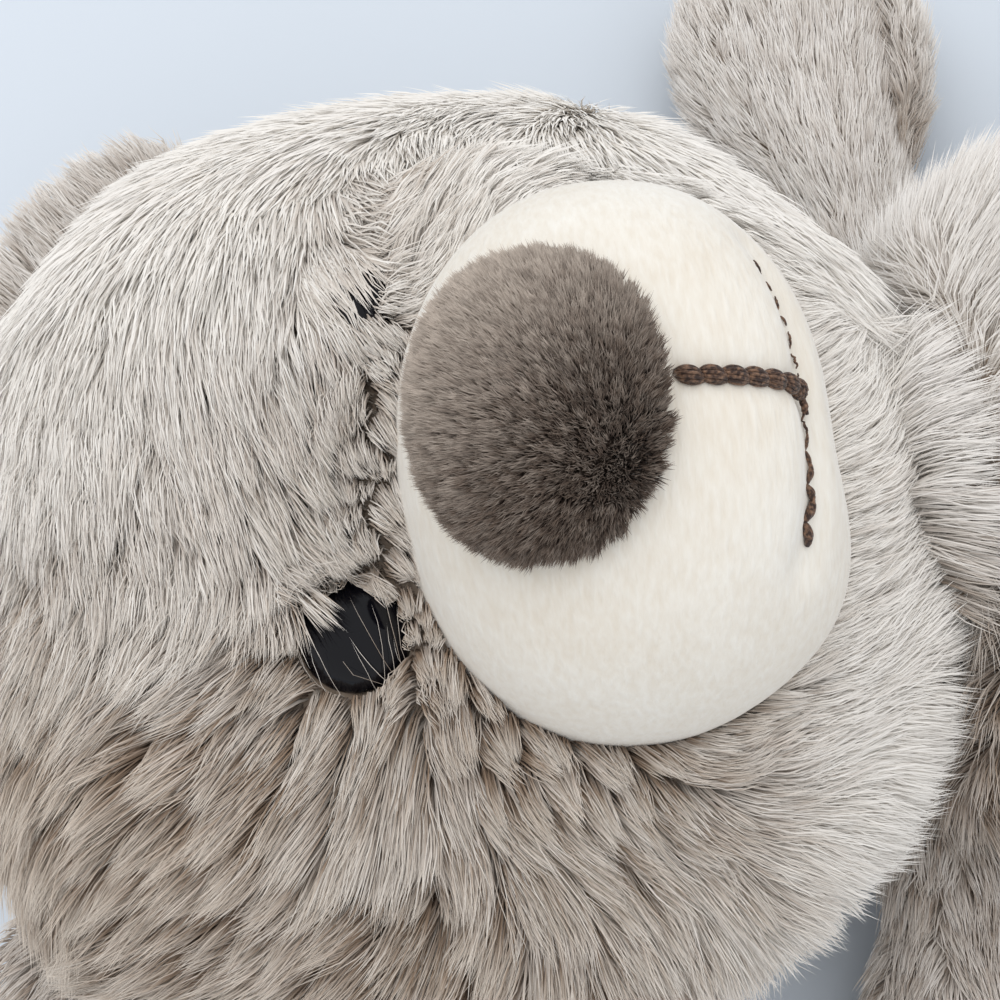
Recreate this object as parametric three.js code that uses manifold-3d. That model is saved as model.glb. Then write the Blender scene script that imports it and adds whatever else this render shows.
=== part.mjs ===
// Plush bear rattle lying on its back: long-pile covers over stuffing, a short-pile muzzle and nose,
// glossy eyes, stitched mouth, hinged limbs and ears, and a capsule of loose beads in the belly.
// Millimetres, +Z up, crown towards -X, feet towards +X, the bear's left side towards +Y.

import * as THREE from 'three';
import { mergeVertices } from 'three/addons/utils/BufferGeometryUtils.js';
import Module from 'manifold-3d';

const wasm = await Module();
wasm.setup();

// Clearances
const SEAM_GAP = 0.3; // between pieces that lie against each other
const TURN_GAP = 0.6; // between a rounded root and the socket that it turns in
const REST_DEPTH = 0.5; // how deep a stuffed form is pressed flat where it lies
const WELD = 1e-4; // vertices closer than this are one

// Head: crown to chin, cheek to cheek, and nape to face
const HEAD_LENGTH = 131;
const HEAD_WIDTH = 132;
const HEAD_DEPTH = 86;
const HEAD_FULLNESS = 2.3; // 2 is an ellipsoid, more is fuller at the corners
const HEAD_COVER = 8; // backing and pile

// Muzzle, measured from the head's middle along the head and up from the table
const MUZZLE_ALONG = 19;
const MUZZLE_HEIGHT = 79;
const MUZZLE_LENGTH = 53;
const MUZZLE_WIDTH = 67;
const MUZZLE_DEPTH = 63;
const MUZZLE_FULLNESS = 2.2;
const MUZZLE_PITCH = 8; // degrees that the muzzle leans to the chin
const MUZZLE_COVER = 3;

// Nose
const NOSE_ALONG = 9;
const NOSE_HEIGHT = 105.5;
const NOSE_LENGTH = 29;
const NOSE_WIDTH = 34;
const NOSE_DEPTH = 23;
const NOSE_FULLNESS = 2.15;
const NOSE_PITCH = -10; // degrees that the nose leans to the crown
const NOSE_COVER = 3.5;

// Embroidered mouth: thread sizes, and directions from the muzzle's middle as angles or vectors
const PHILTRUM_THREAD = 2; // thickness of the rope of stitches
const PHILTRUM_FROM = 4;
const PHILTRUM_TO = 33;
const PHILTRUM_STITCHES = 6;
const STITCH_LAP = 1.35; // length of a stitch against the step to the next
const MOUTH_THREAD = 1.2;
const MOUTH_MIDDLE = new THREE.Vector3(17.3, 0, 24.7);
const MOUTH_CORNER = new THREE.Vector3(13.2, 17.1, 20.5);
const MOUTH_STEPS = 20;
const THREAD_SIDES = 6;

// Eyes: place on the face from the head's middle, dome and ribbed shaft
const LEFT_EYE_ALONG = -10.5;
const LEFT_EYE_ASIDE = 24;
const RIGHT_EYE_ALONG = -12.8;
const RIGHT_EYE_ASIDE = 17.8;
const EYE_RADIUS = 6.6;
const EYE_DOME = 4.4; // height of the dome
const EYE_SUNK = 4.8; // depth of the dome's rim under the pile
const EYE_SHAFT_RADIUS = 2;
const EYE_RIB_RADIUS = 2.5;
const EYE_RIBS = 3; // on the shaft's inner half
const EYE_SHAFT_LENGTH = 9;
const EYE_SHAFT_ROOM = 1; // left free below the shaft's end
const WASHER_RADIUS = 7;
const WASHER_THICKNESS = 1.2;

// Ears: outward from the head's middle at an angle from the crown, and their folding root
const EAR_ANGLE = 48; // degrees from the crown towards the side
const EAR_HEIGHT = 31;
const EAR_REACH = 20; // how far the lobe stands out from its root
const EAR_LENGTH = 27; // of the whole lobe, with what the head cuts away
const EAR_WIDTH = 45;
const EAR_THICKNESS = 13;
const EAR_FULLNESS = 2.2;
const EAR_ROOT_RADIUS = 5;
const EAR_ROOT_LENGTH = 30;
const EAR_ROOT_OUT = 1.6; // how far the fold line stands outside the head
const EAR_FOLD = 30; // degrees that an ear folds to the face
const EAR_DROP = 15; // degrees that an ear folds to the nape

// Neck: the rolled ball of stuffing that joins head and body, which both turn on
const NECK_ALONG = 58;
const NECK_HEIGHT = 38;
const NECK_RADIUS = 24;
const NOD = 16; // degrees that the chin sinks to the chest
const NOD_STEPS = 1;
const HEAD_ROOM = 4; // how far the chest keeps off the nodding head

// Body, measured from the head's middle
const BODY_ALONG = 104;
const BODY_LENGTH = 108;
const BODY_WIDTH = 112;
const BODY_DEPTH = 76;
const BODY_FULLNESS = 2.4;
const BODY_COVER = 6;

// Arms: shoulder place, root and stations along the arm: distance, half width, half thickness, sink
const SHOULDER_ALONG = 67.5;
const SHOULDER_ASIDE = 42;
const SHOULDER_HEIGHT = 20;
const SHOULDER_RADIUS = 14;
const ARM_SPLAY = 93; // degrees from the feet's direction
const ARM_STATIONS = [
  [2, 7, 7, 0],
  [12, 12.5, 11, 0.5],
  [24, 16.5, 12, 3],
  [38, 22.5, 13.5, 6],
  [52, 22.5, 13.5, 6],
  [64, 15.5, 9.5, 6],
];
const ARM_LENGTH = 69;
const ARM_COVER = 5;

// Where the point that closes a limb's start lies, before its first station
const LIMB_START_CAP = 1;

// Legs: hip place, root and stations along the leg, which flares to a foot with a flat sole
const HIP_ALONG = 149;
const HIP_ASIDE = 31;
const HIP_HEIGHT = 21.5;
const HIP_RADIUS = 17;
const LEG_SPLAY = 8; // degrees outwards
const LEG_STATIONS = [
  [2, 9, 9, 0],
  [11, 14.8, 14.8, 0],
  [24, 19, 19.5, 0],
  [35, 20.5, 24, -3],
  [43, 21.5, 27.5, -6.5],
  [49, 18.5, 24.5, -6.5],
];
const LEG_COVER = 5;
const SOLE_THICKNESS = 2.5;
const SOLE_EDGE = 1.5; // how far the sole stays inside the foot's outline

// Rattle: capsule in the belly, its lip, and the beads
const RATTLE_ALONG = 106;
const RATTLE_HEIGHT = 37;
const CAPSULE_RADIUS = 19;
const CAPSULE_WALL = 2.2;
const CAPSULE_LIP = 2; // height of the lip that the cap closes over
const CAPSULE_LIP_WALL = 0.9;
const BEAD_RADIUS = 3.6;
const BEAD_COUNT = 4;
const BEAD_RING = 5.5; // radius of the ring that the beads lie in

// How finely forms are faceted: round the form, and from pole to pole
const BEAD = { sides: 10, rings: 7 };
const INNER = { sides: 12, rings: 8 };
const COARSE = { sides: 16, rings: 10 };
const MEDIUM = { sides: 20, rings: 12 };
const FINE = { sides: 22, rings: 14 };
const LIMB = { sides: 12, rings: 7 };
const TIP_STEPS = 3; // rings that round the end of an arm
const CAPSULE_STEPS = MEDIUM.rings / 2;
const DOME_STEPS = 4;

const FUR = { color: 0xc4bdb2, roughness: 0.9, metalness: 0 };
const STUFFING = { color: 0xf2efe8, roughness: 1, metalness: 0 };
const CREAM = { color: 0xf3eee2, roughness: 0.85, metalness: 0 };
const BROWN = { color: 0x6f6054, roughness: 0.85, metalness: 0 };
const THREAD = { color: 0x4a3226, roughness: 0.6, metalness: 0 };
const BLACK_GLOSS = { color: 0x08080a, roughness: 0.08, metalness: 0 };
const NATURAL_PLASTIC = { color: 0xdcdcd6, roughness: 0.45, metalness: 0 };
const BEAD_PLASTIC = { color: 0xd9a441, roughness: 0.3, metalness: 0 };

const UP = new THREE.Vector3(0, 0, 1);

function radians(degrees) {
  return THREE.MathUtils.degToRad(degrees);
}

// Turns a closed three.js geometry into a solid that can be cut and joined.
function solidFrom(geometry) {
  const bare = geometry.clone();
  bare.deleteAttribute('normal');
  bare.deleteAttribute('uv');
  const merged = mergeVertices(bare, WELD);
  return new wasm.Manifold(
    new wasm.Mesh({
      numProp: 3,
      vertProperties: Float32Array.from(merged.attributes.position.array),
      triVerts: Uint32Array.from(merged.index.array),
    }),
  );
}

// Turns a solid back into a geometry.
function geometryFrom(solid) {
  const mesh = solid.getMesh();
  const geometry = new THREE.BufferGeometry();
  geometry.setAttribute('position', new THREE.BufferAttribute(Float32Array.from(mesh.vertProperties), 3));
  geometry.setIndex(new THREE.BufferAttribute(Uint32Array.from(mesh.triVerts), 1));
  geometry.computeVertexNormals();
  return geometry;
}

function joined(solids) {
  return solids.reduce((whole, next) => whole.add(next));
}

function cutBy(solid, cutters) {
  return cutters.reduce((rest, cutter) => rest.subtract(cutter), solid);
}

// Presses a form flat where it lies on the table.
function laidDown(solid) {
  const size = 4 * (HEAD_LENGTH + BODY_LENGTH);
  const under = new THREE.BoxGeometry(size, size, HEAD_DEPTH);
  under.translate(0, 0, -HEAD_DEPTH / 2);
  return solid.subtract(solidFrom(under));
}

// A stuffed form: an ellipsoid that can be fuller at its corners, thinned or thickened by an offset.
class StuffedForm {
  constructor(centre, length, width, depth, fullness, pitch = 0) {
    this.centre = centre;
    this.half = new THREE.Vector3(length / 2, width / 2, depth / 2);
    this.fullness = fullness;
    this.turn = new THREE.Matrix4().makeRotationY(radians(pitch));
  }

  // The point that a direction of the untilted form meets, moved out by an offset.
  point(direction, offset = 0) {
    const share =
      Math.abs(direction.x / (this.half.x + offset)) ** this.fullness +
      Math.abs(direction.y / (this.half.y + offset)) ** this.fullness +
      Math.abs(direction.z / (this.half.z + offset)) ** this.fullness;
    const reach = share ** (-1 / this.fullness);
    return direction.clone().multiplyScalar(reach).applyMatrix4(this.turn).add(this.centre);
  }

  // The height of the untilted form's upper surface over a point of the plan.
  top(along, aside) {
    const share =
      Math.abs((along - this.centre.x) / this.half.x) ** this.fullness +
      Math.abs((aside - this.centre.y) / this.half.y) ** this.fullness;
    return this.centre.z + this.half.z * (1 - share) ** (1 / this.fullness);
  }

  // The outward direction at a point of the untilted form.
  outward(point) {
    const from = point.clone().sub(this.centre);
    const slope = (value, half) => (Math.sign(value) * Math.abs(value / half) ** (this.fullness - 1)) / half;
    return new THREE.Vector3(
      slope(from.x, this.half.x),
      slope(from.y, this.half.y),
      slope(from.z, this.half.z),
    ).normalize();
  }

  solid(offset, { sides, rings }) {
    const ball = new THREE.SphereGeometry(1, sides, rings);
    ball.rotateX(Math.PI / 2);
    const places = ball.attributes.position;
    for (let i = 0; i < places.count; i++) {
      const place = this.point(new THREE.Vector3().fromBufferAttribute(places, i), offset);
      places.setXYZ(i, place.x, place.y, place.z);
    }
    return solidFrom(ball);
  }
}

function ballSolid(centre, radius, { sides, rings }) {
  const ball = new THREE.SphereGeometry(radius, sides, rings);
  ball.rotateX(Math.PI / 2);
  ball.translate(centre.x, centre.y, centre.z);
  return solidFrom(ball);
}

// A round bar or hole along +Z from one height to another.
function barSolid(radius, from, to, sides = COARSE.sides) {
  const bar = new THREE.CylinderGeometry(radius, radius, to - from, sides);
  bar.rotateX(Math.PI / 2);
  bar.translate(0, 0, (from + to) / 2);
  return solidFrom(bar);
}

function moved(solid, matrix) {
  return solid.transform(matrix.elements);
}

// A tapering limb along +X through its stations, thinned by an inset.
// Without a length it ends flat at the last station.
function limbSolid(stations, length, inset) {
  const { sides, rings } = LIMB;
  const first = stations[0];
  const last = stations[stations.length - 1];
  const spine = new THREE.CatmullRomCurve3(
    stations.map(([along, , , sink]) => new THREE.Vector3(along, 0, -sink)),
  );
  const girth = new THREE.CatmullRomCurve3(
    stations.map(([, width, thickness]) => new THREE.Vector3(width, thickness, 0)),
  );
  const positions = [];
  const addRing = (place, width, thickness) => {
    for (let j = 0; j < sides; j++) {
      const angle = (2 * Math.PI * j) / sides;
      positions.push(place.x, width * Math.cos(angle), place.z + thickness * Math.sin(angle));
    }
  };
  const flat = length === undefined;
  const reach = flat ? (last[0] - inset - first[0]) / (last[0] - first[0]) : 1;
  for (let i = 0; i <= rings; i++) {
    const along = spine.getPoint((reach * i) / rings);
    const size = girth.getPoint((reach * i) / rings);
    addRing(along, size.x - inset, size.y - inset);
  }
  const tipSteps = flat ? 0 : TIP_STEPS;
  const tip = flat ? 0 : length - inset - last[0];
  for (let i = 1; i <= tipSteps; i++) {
    const bend = (i / (tipSteps + 1)) * (Math.PI / 2);
    const place = new THREE.Vector3(last[0] + tip * Math.sin(bend), 0, -last[3]);
    addRing(place, (last[1] - inset) * Math.cos(bend), (last[2] - inset) * Math.cos(bend));
  }
  const ringCount = rings + 1 + tipSteps;
  const start = positions.length / 3;
  const end = flat ? spine.getPoint(reach) : new THREE.Vector3(length - inset, 0, -last[3]);
  positions.push(first[0] - LIMB_START_CAP, 0, -first[3], end.x, 0, end.z);
  const index = [];
  for (let i = 0; i < ringCount - 1; i++) {
    for (let j = 0; j < sides; j++) {
      const a = i * sides + j;
      const b = i * sides + ((j + 1) % sides);
      index.push(a, b, a + sides, b, b + sides, a + sides);
    }
  }
  for (let j = 0; j < sides; j++) {
    const next = (j + 1) % sides;
    const rim = (ringCount - 1) * sides;
    index.push(start, next, j, start + 1, rim + j, rim + next);
  }
  const geometry = new THREE.BufferGeometry();
  geometry.setAttribute('position', new THREE.Float32BufferAttribute(positions, 3));
  geometry.setIndex(index);
  return solidFrom(geometry);
}

// A tube of thread through points, closed at both ends.
function threadSolid(points, thickness) {
  const outline = new THREE.Shape();
  for (let i = 0; i < THREAD_SIDES; i++) {
    const angle = (2 * Math.PI * i) / THREAD_SIDES;
    const place = [(thickness / 2) * Math.cos(angle), (thickness / 2) * Math.sin(angle)];
    if (i === 0) {
      outline.moveTo(...place);
    } else {
      outline.lineTo(...place);
    }
  }
  const path = new THREE.CatmullRomCurve3(points);
  return solidFrom(
    new THREE.ExtrudeGeometry(outline, { steps: points.length, extrudePath: path, bevelEnabled: false }),
  );
}

// The forms that other pieces are placed on or cut by.
const HEAD_CENTRE = new THREE.Vector3(0, 0, HEAD_DEPTH / 2 - REST_DEPTH);
const HEAD = new StuffedForm(HEAD_CENTRE, HEAD_LENGTH, HEAD_WIDTH, HEAD_DEPTH, HEAD_FULLNESS);
const MUZZLE = new StuffedForm(
  new THREE.Vector3(MUZZLE_ALONG, 0, MUZZLE_HEIGHT),
  MUZZLE_LENGTH,
  MUZZLE_WIDTH,
  MUZZLE_DEPTH,
  MUZZLE_FULLNESS,
  MUZZLE_PITCH,
);
const NOSE = new StuffedForm(
  new THREE.Vector3(NOSE_ALONG, 0, NOSE_HEIGHT),
  NOSE_LENGTH,
  NOSE_WIDTH,
  NOSE_DEPTH,
  NOSE_FULLNESS,
  NOSE_PITCH,
);
const BODY_CENTRE = new THREE.Vector3(BODY_ALONG, 0, BODY_DEPTH / 2 - REST_DEPTH);
const BODY = new StuffedForm(BODY_CENTRE, BODY_LENGTH, BODY_WIDTH, BODY_DEPTH, BODY_FULLNESS);
const NECK = new THREE.Vector3(NECK_ALONG, 0, NECK_HEIGHT);

// Where an eye sits: on the face, its axis square to the pile.
function eyePlace(side) {
  const along = side > 0 ? LEFT_EYE_ALONG : RIGHT_EYE_ALONG;
  const aside = side > 0 ? LEFT_EYE_ASIDE : -RIGHT_EYE_ASIDE;
  const place = new THREE.Vector3(along, aside, HEAD.top(along, aside));
  const turn = new THREE.Quaternion().setFromUnitVectors(UP, HEAD.outward(place));
  return new THREE.Matrix4().compose(place, turn, new THREE.Vector3(1, 1, 1));
}

// Where an ear folds: +X outward from the head, +Y along the fold line.
function earPlace(side) {
  const angle = Math.PI - side * radians(EAR_ANGLE);
  const outward = new THREE.Vector3(Math.cos(angle), Math.sin(angle), 0);
  const rise = (EAR_HEIGHT - HEAD_CENTRE.z) / HEAD.half.z;
  const level = (1 - Math.abs(rise) ** HEAD_FULLNESS) ** (1 / HEAD_FULLNESS);
  const reach = HEAD.point(outward).sub(HEAD_CENTRE).length() * level + EAR_ROOT_OUT;
  const turn = new THREE.Matrix4().makeRotationZ(angle);
  const place = outward.multiplyScalar(reach);
  return turn.setPosition(place.x, place.y, EAR_HEIGHT);
}

// Where an arm turns: +X along the arm.
function armPlace(side) {
  const turn = new THREE.Matrix4().makeRotationZ(side * radians(ARM_SPLAY));
  return turn.setPosition(SHOULDER_ALONG, side * SHOULDER_ASIDE, SHOULDER_HEIGHT);
}

// Where a leg turns: +X along the leg.
function legPlace(side) {
  const turn = new THREE.Matrix4().makeRotationZ(side * radians(LEG_SPLAY));
  return turn.setPosition(HIP_ALONG, side * HIP_ASIDE, HIP_HEIGHT);
}

function originOf(matrix) {
  return new THREE.Vector3().setFromMatrixPosition(matrix);
}

// The space that the head needs as the chin sinks to the chest.
function noddingHead(offset) {
  const head = HEAD.solid(offset, COARSE);
  const steps = [];
  for (let i = 0; i <= NOD_STEPS; i++) {
    const nod = new THREE.Matrix4()
      .makeTranslation(NECK.x, NECK.y, NECK.z)
      .multiply(new THREE.Matrix4().makeRotationY(radians((NOD * i) / NOD_STEPS)))
      .multiply(new THREE.Matrix4().makeTranslation(-NECK.x, -NECK.y, -NECK.z));
    steps.push(moved(head, nod));
  }
  return joined(steps);
}

function earGroove(side) {
  const length = EAR_ROOT_LENGTH + 2 * TURN_GAP;
  const groove = new THREE.CylinderGeometry(
    EAR_ROOT_RADIUS + TURN_GAP,
    EAR_ROOT_RADIUS + TURN_GAP,
    length,
    COARSE.sides,
  );
  return moved(solidFrom(groove), earPlace(side));
}

function eyePit(side) {
  const pit = barSolid(EYE_RADIUS + SEAM_GAP, -EYE_SUNK - SEAM_GAP, EYE_SUNK);
  const bottom = -EYE_SUNK - EYE_SHAFT_LENGTH - EYE_SHAFT_ROOM;
  const hole = barSolid(EYE_RIB_RADIUS + SEAM_GAP, bottom, 0);
  return moved(pit.add(hole), eyePlace(side));
}

// The room round a washer, from below it up to a height under the head's surface.
function washerPocket(side, top) {
  const bottom = -HEAD_COVER - WASHER_THICKNESS - 4 * SEAM_GAP;
  return moved(barSolid(WASHER_RADIUS + SEAM_GAP, bottom, top), eyePlace(side));
}

function neckSocket() {
  return ballSolid(NECK, NECK_RADIUS + TURN_GAP, MEDIUM);
}

function headCover() {
  const shell = HEAD.solid(0, FINE).subtract(HEAD.solid(-HEAD_COVER, INNER));
  const washerTop = -HEAD_COVER - 2 * SEAM_GAP;
  const cover = cutBy(shell, [
    MUZZLE.solid(SEAM_GAP, MEDIUM),
    neckSocket(),
    eyePit(1),
    eyePit(-1),
    washerPocket(1, washerTop),
    washerPocket(-1, washerTop),
    earGroove(1),
    earGroove(-1),
  ]);
  return laidDown(cover);
}

function headFilling() {
  const inset = HEAD_COVER + SEAM_GAP;
  const filling = HEAD.solid(-inset, INNER).add(MUZZLE.solid(-MUZZLE_COVER - SEAM_GAP, INNER));
  return cutBy(filling, [neckSocket(), eyePit(1), eyePit(-1), washerPocket(1, 0), washerPocket(-1, 0)]);
}

function muzzleCover() {
  const shell = MUZZLE.solid(0, MEDIUM).subtract(MUZZLE.solid(-MUZZLE_COVER, INNER));
  return shell.subtract(HEAD.solid(-HEAD_COVER, INNER));
}

function noseCover() {
  const shell = NOSE.solid(0, MEDIUM).subtract(NOSE.solid(-NOSE_COVER, INNER));
  return shell.subtract(MUZZLE.solid(SEAM_GAP, MEDIUM));
}

function noseFilling() {
  return NOSE.solid(-NOSE_COVER - SEAM_GAP, INNER).subtract(MUZZLE.solid(SEAM_GAP, MEDIUM));
}

// The rope of stitches from the nose to the mouth: one swelling stitch laid over the next.
function philtrumStitches() {
  const stitches = [];
  const lift = PHILTRUM_THREAD / 2 + SEAM_GAP;
  const at = (share) => {
    const angle = radians(PHILTRUM_FROM + (PHILTRUM_TO - PHILTRUM_FROM) * share);
    return MUZZLE.point(new THREE.Vector3(Math.sin(angle), 0, Math.cos(angle)), lift);
  };
  for (let i = 0; i < PHILTRUM_STITCHES; i++) {
    const from = at(i / PHILTRUM_STITCHES);
    const to = at((i + 1) / PHILTRUM_STITCHES);
    const length = from.distanceTo(to);
    const stitch = new THREE.SphereGeometry(PHILTRUM_THREAD / 2, THREAD_SIDES, THREAD_SIDES);
    stitch.rotateZ(Math.PI / 2);
    stitch.scale((STITCH_LAP * length) / PHILTRUM_THREAD, 1, 1);
    const turn = new THREE.Quaternion().setFromUnitVectors(
      new THREE.Vector3(1, 0, 0),
      to.clone().sub(from).normalize(),
    );
    const place = new THREE.Matrix4().compose(from.add(to).divideScalar(2), turn, new THREE.Vector3(1, 1, 1));
    stitches.push(moved(solidFrom(stitch), place));
  }
  return joined(stitches);
}

// The stitched line of the mouth, from corner to corner over the front of the muzzle.
function mouthStitches() {
  const points = [];
  for (let i = 0; i <= MOUTH_STEPS; i++) {
    const share = (2 * i) / MOUTH_STEPS - 1;
    const direction = MOUTH_MIDDLE.clone().lerp(MOUTH_CORNER, share * share);
    direction.y = MOUTH_CORNER.y * share;
    points.push(MUZZLE.point(direction.normalize(), MOUTH_THREAD / 2 + SEAM_GAP));
  }
  return threadSolid(points, MOUTH_THREAD);
}

// A glossy dome with a ribbed shaft, which a washer holds from inside.
function eyeSolid(side) {
  const rim = -EYE_SUNK;
  const foot = rim - EYE_SHAFT_LENGTH;
  const profile = [new THREE.Vector2(0, foot), new THREE.Vector2(EYE_SHAFT_RADIUS, foot)];
  const rib = EYE_SHAFT_LENGTH / 2 / EYE_RIBS;
  for (let i = 0; i < EYE_RIBS; i++) {
    const middle = foot + rib * (i + 1 / 2);
    profile.push(new THREE.Vector2(EYE_SHAFT_RADIUS, middle - rib / 4));
    profile.push(new THREE.Vector2(EYE_RIB_RADIUS, middle));
    profile.push(new THREE.Vector2(EYE_SHAFT_RADIUS, middle + rib / 4));
  }
  profile.push(new THREE.Vector2(EYE_SHAFT_RADIUS, rim));
  for (let i = 0; i < DOME_STEPS; i++) {
    const angle = (i / DOME_STEPS) * (Math.PI / 2);
    profile.push(new THREE.Vector2(EYE_RADIUS * Math.cos(angle), rim + EYE_DOME * Math.sin(angle)));
  }
  profile.push(new THREE.Vector2(0, rim + EYE_DOME));
  const lathe = new THREE.LatheGeometry(profile, COARSE.sides);
  lathe.rotateX(Math.PI / 2);
  return moved(solidFrom(lathe), eyePlace(side));
}

function eyeWasher(side) {
  const top = -HEAD_COVER - 3 * SEAM_GAP;
  const disc = barSolid(WASHER_RADIUS, top - WASHER_THICKNESS, top);
  const hole = barSolid(EYE_RIB_RADIUS + SEAM_GAP, top - 2 * WASHER_THICKNESS, top + WASHER_THICKNESS);
  return moved(disc.subtract(hole), eyePlace(side));
}

// One ear in its own place: a rounded lobe on a rolled root, cut clear of the head through its fold.
function earSolid(side) {
  const lobe = new StuffedForm(
    new THREE.Vector3(EAR_REACH - EAR_LENGTH / 2, 0, 0),
    EAR_LENGTH,
    EAR_WIDTH,
    EAR_THICKNESS,
    EAR_FULLNESS,
  ).solid(0, COARSE);
  const toHead = earPlace(side).invert();
  const clear = [];
  for (const fold of [-EAR_DROP, 0, EAR_FOLD / 2, EAR_FOLD]) {
    const turned = new THREE.Matrix4().makeRotationY(radians(fold)).multiply(toHead);
    clear.push(moved(HEAD.solid(TURN_GAP, FINE), turned));
  }
  const root = solidFrom(
    new THREE.CylinderGeometry(EAR_ROOT_RADIUS, EAR_ROOT_RADIUS, EAR_ROOT_LENGTH, COARSE.sides),
  );
  return cutBy(lobe, clear).add(root);
}

// The ear's back and front, seamed round the edge: which is 1 for the front, that faces up.
function earHalf(side, which) {
  const half = new THREE.BoxGeometry(4 * EAR_WIDTH, 4 * EAR_WIDTH, EAR_THICKNESS * 2);
  half.translate(0, 0, which * (EAR_THICKNESS + SEAM_GAP / 2));
  return moved(earSolid(side).intersect(solidFrom(half)), earPlace(side));
}

// A limb's cover and its stuffing in their own place, the cover open at the root where the body hides it.
function limbParts(stations, length, radius, cover) {
  const within = (inset, facets) =>
    limbSolid(stations, length, inset).add(ballSolid(new THREE.Vector3(), radius - inset, facets));
  const wall = within(0, COARSE).subtract(within(cover, INNER)).subtract(rootOpening(radius));
  return { cover: wall, filling: within(cover + SEAM_GAP, INNER) };
}

// The way into a limb's cover, on the side of its root that the body hides.
function rootOpening(radius) {
  const way = new THREE.CylinderGeometry(radius / 2, radius / 2, radius, COARSE.sides);
  way.rotateZ(Math.PI / 2);
  way.translate(-radius, 0, 0);
  return solidFrom(way);
}

function armParts(side) {
  const { cover, filling } = limbParts(ARM_STATIONS, ARM_LENGTH, SHOULDER_RADIUS, ARM_COVER);
  return { cover: laidDown(moved(cover, armPlace(side))), filling: moved(filling, armPlace(side)) };
}

function legParts(side) {
  const { cover, filling } = limbParts(LEG_STATIONS, undefined, HIP_RADIUS, LEG_COVER);
  return { cover: laidDown(moved(cover, legPlace(side))), filling: moved(filling, legPlace(side)) };
}

// A flat oval of short plush on the end of the foot.
function soleSolid(side) {
  const [end, across, tall, sink] = LEG_STATIONS[LEG_STATIONS.length - 1];
  const disc = new THREE.CylinderGeometry(1, 1, SOLE_THICKNESS, FINE.sides);
  disc.rotateZ(Math.PI / 2);
  disc.scale(1, across - SOLE_EDGE, tall - SOLE_EDGE);
  disc.translate(end + SEAM_GAP + SOLE_THICKNESS / 2, 0, -sink);
  return moved(solidFrom(disc), legPlace(side));
}

function limbSockets() {
  const sockets = [];
  for (const side of [1, -1]) {
    sockets.push(ballSolid(originOf(armPlace(side)), SHOULDER_RADIUS + TURN_GAP, COARSE));
    sockets.push(ballSolid(originOf(legPlace(side)), HIP_RADIUS + TURN_GAP, COARSE));
  }
  return sockets;
}

// The body's skin: closed over the chest, open at the neck and at the four limbs.
function bodyCover() {
  const outer = BODY.solid(0, FINE).subtract(noddingHead(HEAD_ROOM));
  const inner = BODY.solid(-BODY_COVER, INNER).subtract(noddingHead(HEAD_ROOM + BODY_COVER));
  return laidDown(cutBy(outer.subtract(inner), [neckSocket(), ...limbSockets()]));
}

function capsuleRoom() {
  return ballSolid(rattleCentre(), CAPSULE_RADIUS + SEAM_GAP, MEDIUM);
}

function rattleCentre() {
  return new THREE.Vector3(RATTLE_ALONG, 0, RATTLE_HEIGHT);
}

// Half of the body's stuffing: which is 1 for the front, that faces up, and -1 for the back.
function bodyFilling(which) {
  const inset = BODY_COVER + SEAM_GAP;
  const whole = BODY.solid(-inset, INNER).subtract(noddingHead(HEAD_ROOM + inset));
  const half = new THREE.BoxGeometry(2 * BODY_LENGTH, 2 * BODY_WIDTH, BODY_DEPTH);
  half.translate(BODY_ALONG, 0, RATTLE_HEIGHT + which * (BODY_DEPTH / 2 + SEAM_GAP / 2));
  return cutBy(whole.intersect(solidFrom(half)), [capsuleRoom(), neckSocket(), ...limbSockets()]);
}

// Points of a quarter circle in a lathe profile, from the axis to the rim or back.
function quarter(radius, steps, sign, fromAxis) {
  const points = [];
  for (let i = 0; i <= steps; i++) {
    const share = fromAxis ? i / steps : 1 - i / steps;
    const angle = share * (Math.PI / 2);
    const across = i === (fromAxis ? 0 : steps) ? 0 : radius * Math.sin(angle);
    points.push(new THREE.Vector2(across, sign * radius * Math.cos(angle)));
  }
  return points;
}

function capsuleSolid(profile) {
  const lathe = new THREE.LatheGeometry(profile, MEDIUM.sides);
  lathe.rotateX(Math.PI / 2);
  const centre = rattleCentre();
  lathe.translate(centre.x, centre.y, centre.z);
  return solidFrom(lathe);
}

// The lower half of the capsule, with a lip standing up inside its rim.
function capsuleBase() {
  const inner = CAPSULE_RADIUS - CAPSULE_WALL;
  const outside = quarter(CAPSULE_RADIUS, CAPSULE_STEPS, -1, true);
  const inside = quarter(inner, CAPSULE_STEPS, -1, false);
  const lip = [
    new THREE.Vector2(inner + CAPSULE_LIP_WALL, 0),
    new THREE.Vector2(inner + CAPSULE_LIP_WALL / 2, CAPSULE_LIP),
    new THREE.Vector2(inner, CAPSULE_LIP),
  ];
  return capsuleSolid([...outside, ...lip, ...inside]);
}

// The upper half, relieved inside its rim so that it closes over the lip.
function capsuleCap() {
  const inner = CAPSULE_RADIUS - CAPSULE_WALL;
  const inside = quarter(inner, CAPSULE_STEPS, 1, true);
  const outside = quarter(CAPSULE_RADIUS, CAPSULE_STEPS, 1, false);
  const centre = rattleCentre();
  const lip = inner + CAPSULE_LIP_WALL + SEAM_GAP;
  const relief = barSolid(lip, -CAPSULE_LIP, CAPSULE_LIP + SEAM_GAP, MEDIUM.sides);
  const seam = barSolid(2 * CAPSULE_RADIUS, -CAPSULE_LIP, SEAM_GAP, 4);
  const place = new THREE.Matrix4().makeTranslation(centre.x, centre.y, centre.z);
  return cutBy(capsuleSolid([...inside, ...outside]), [moved(relief, place), moved(seam, place)]);
}

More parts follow.
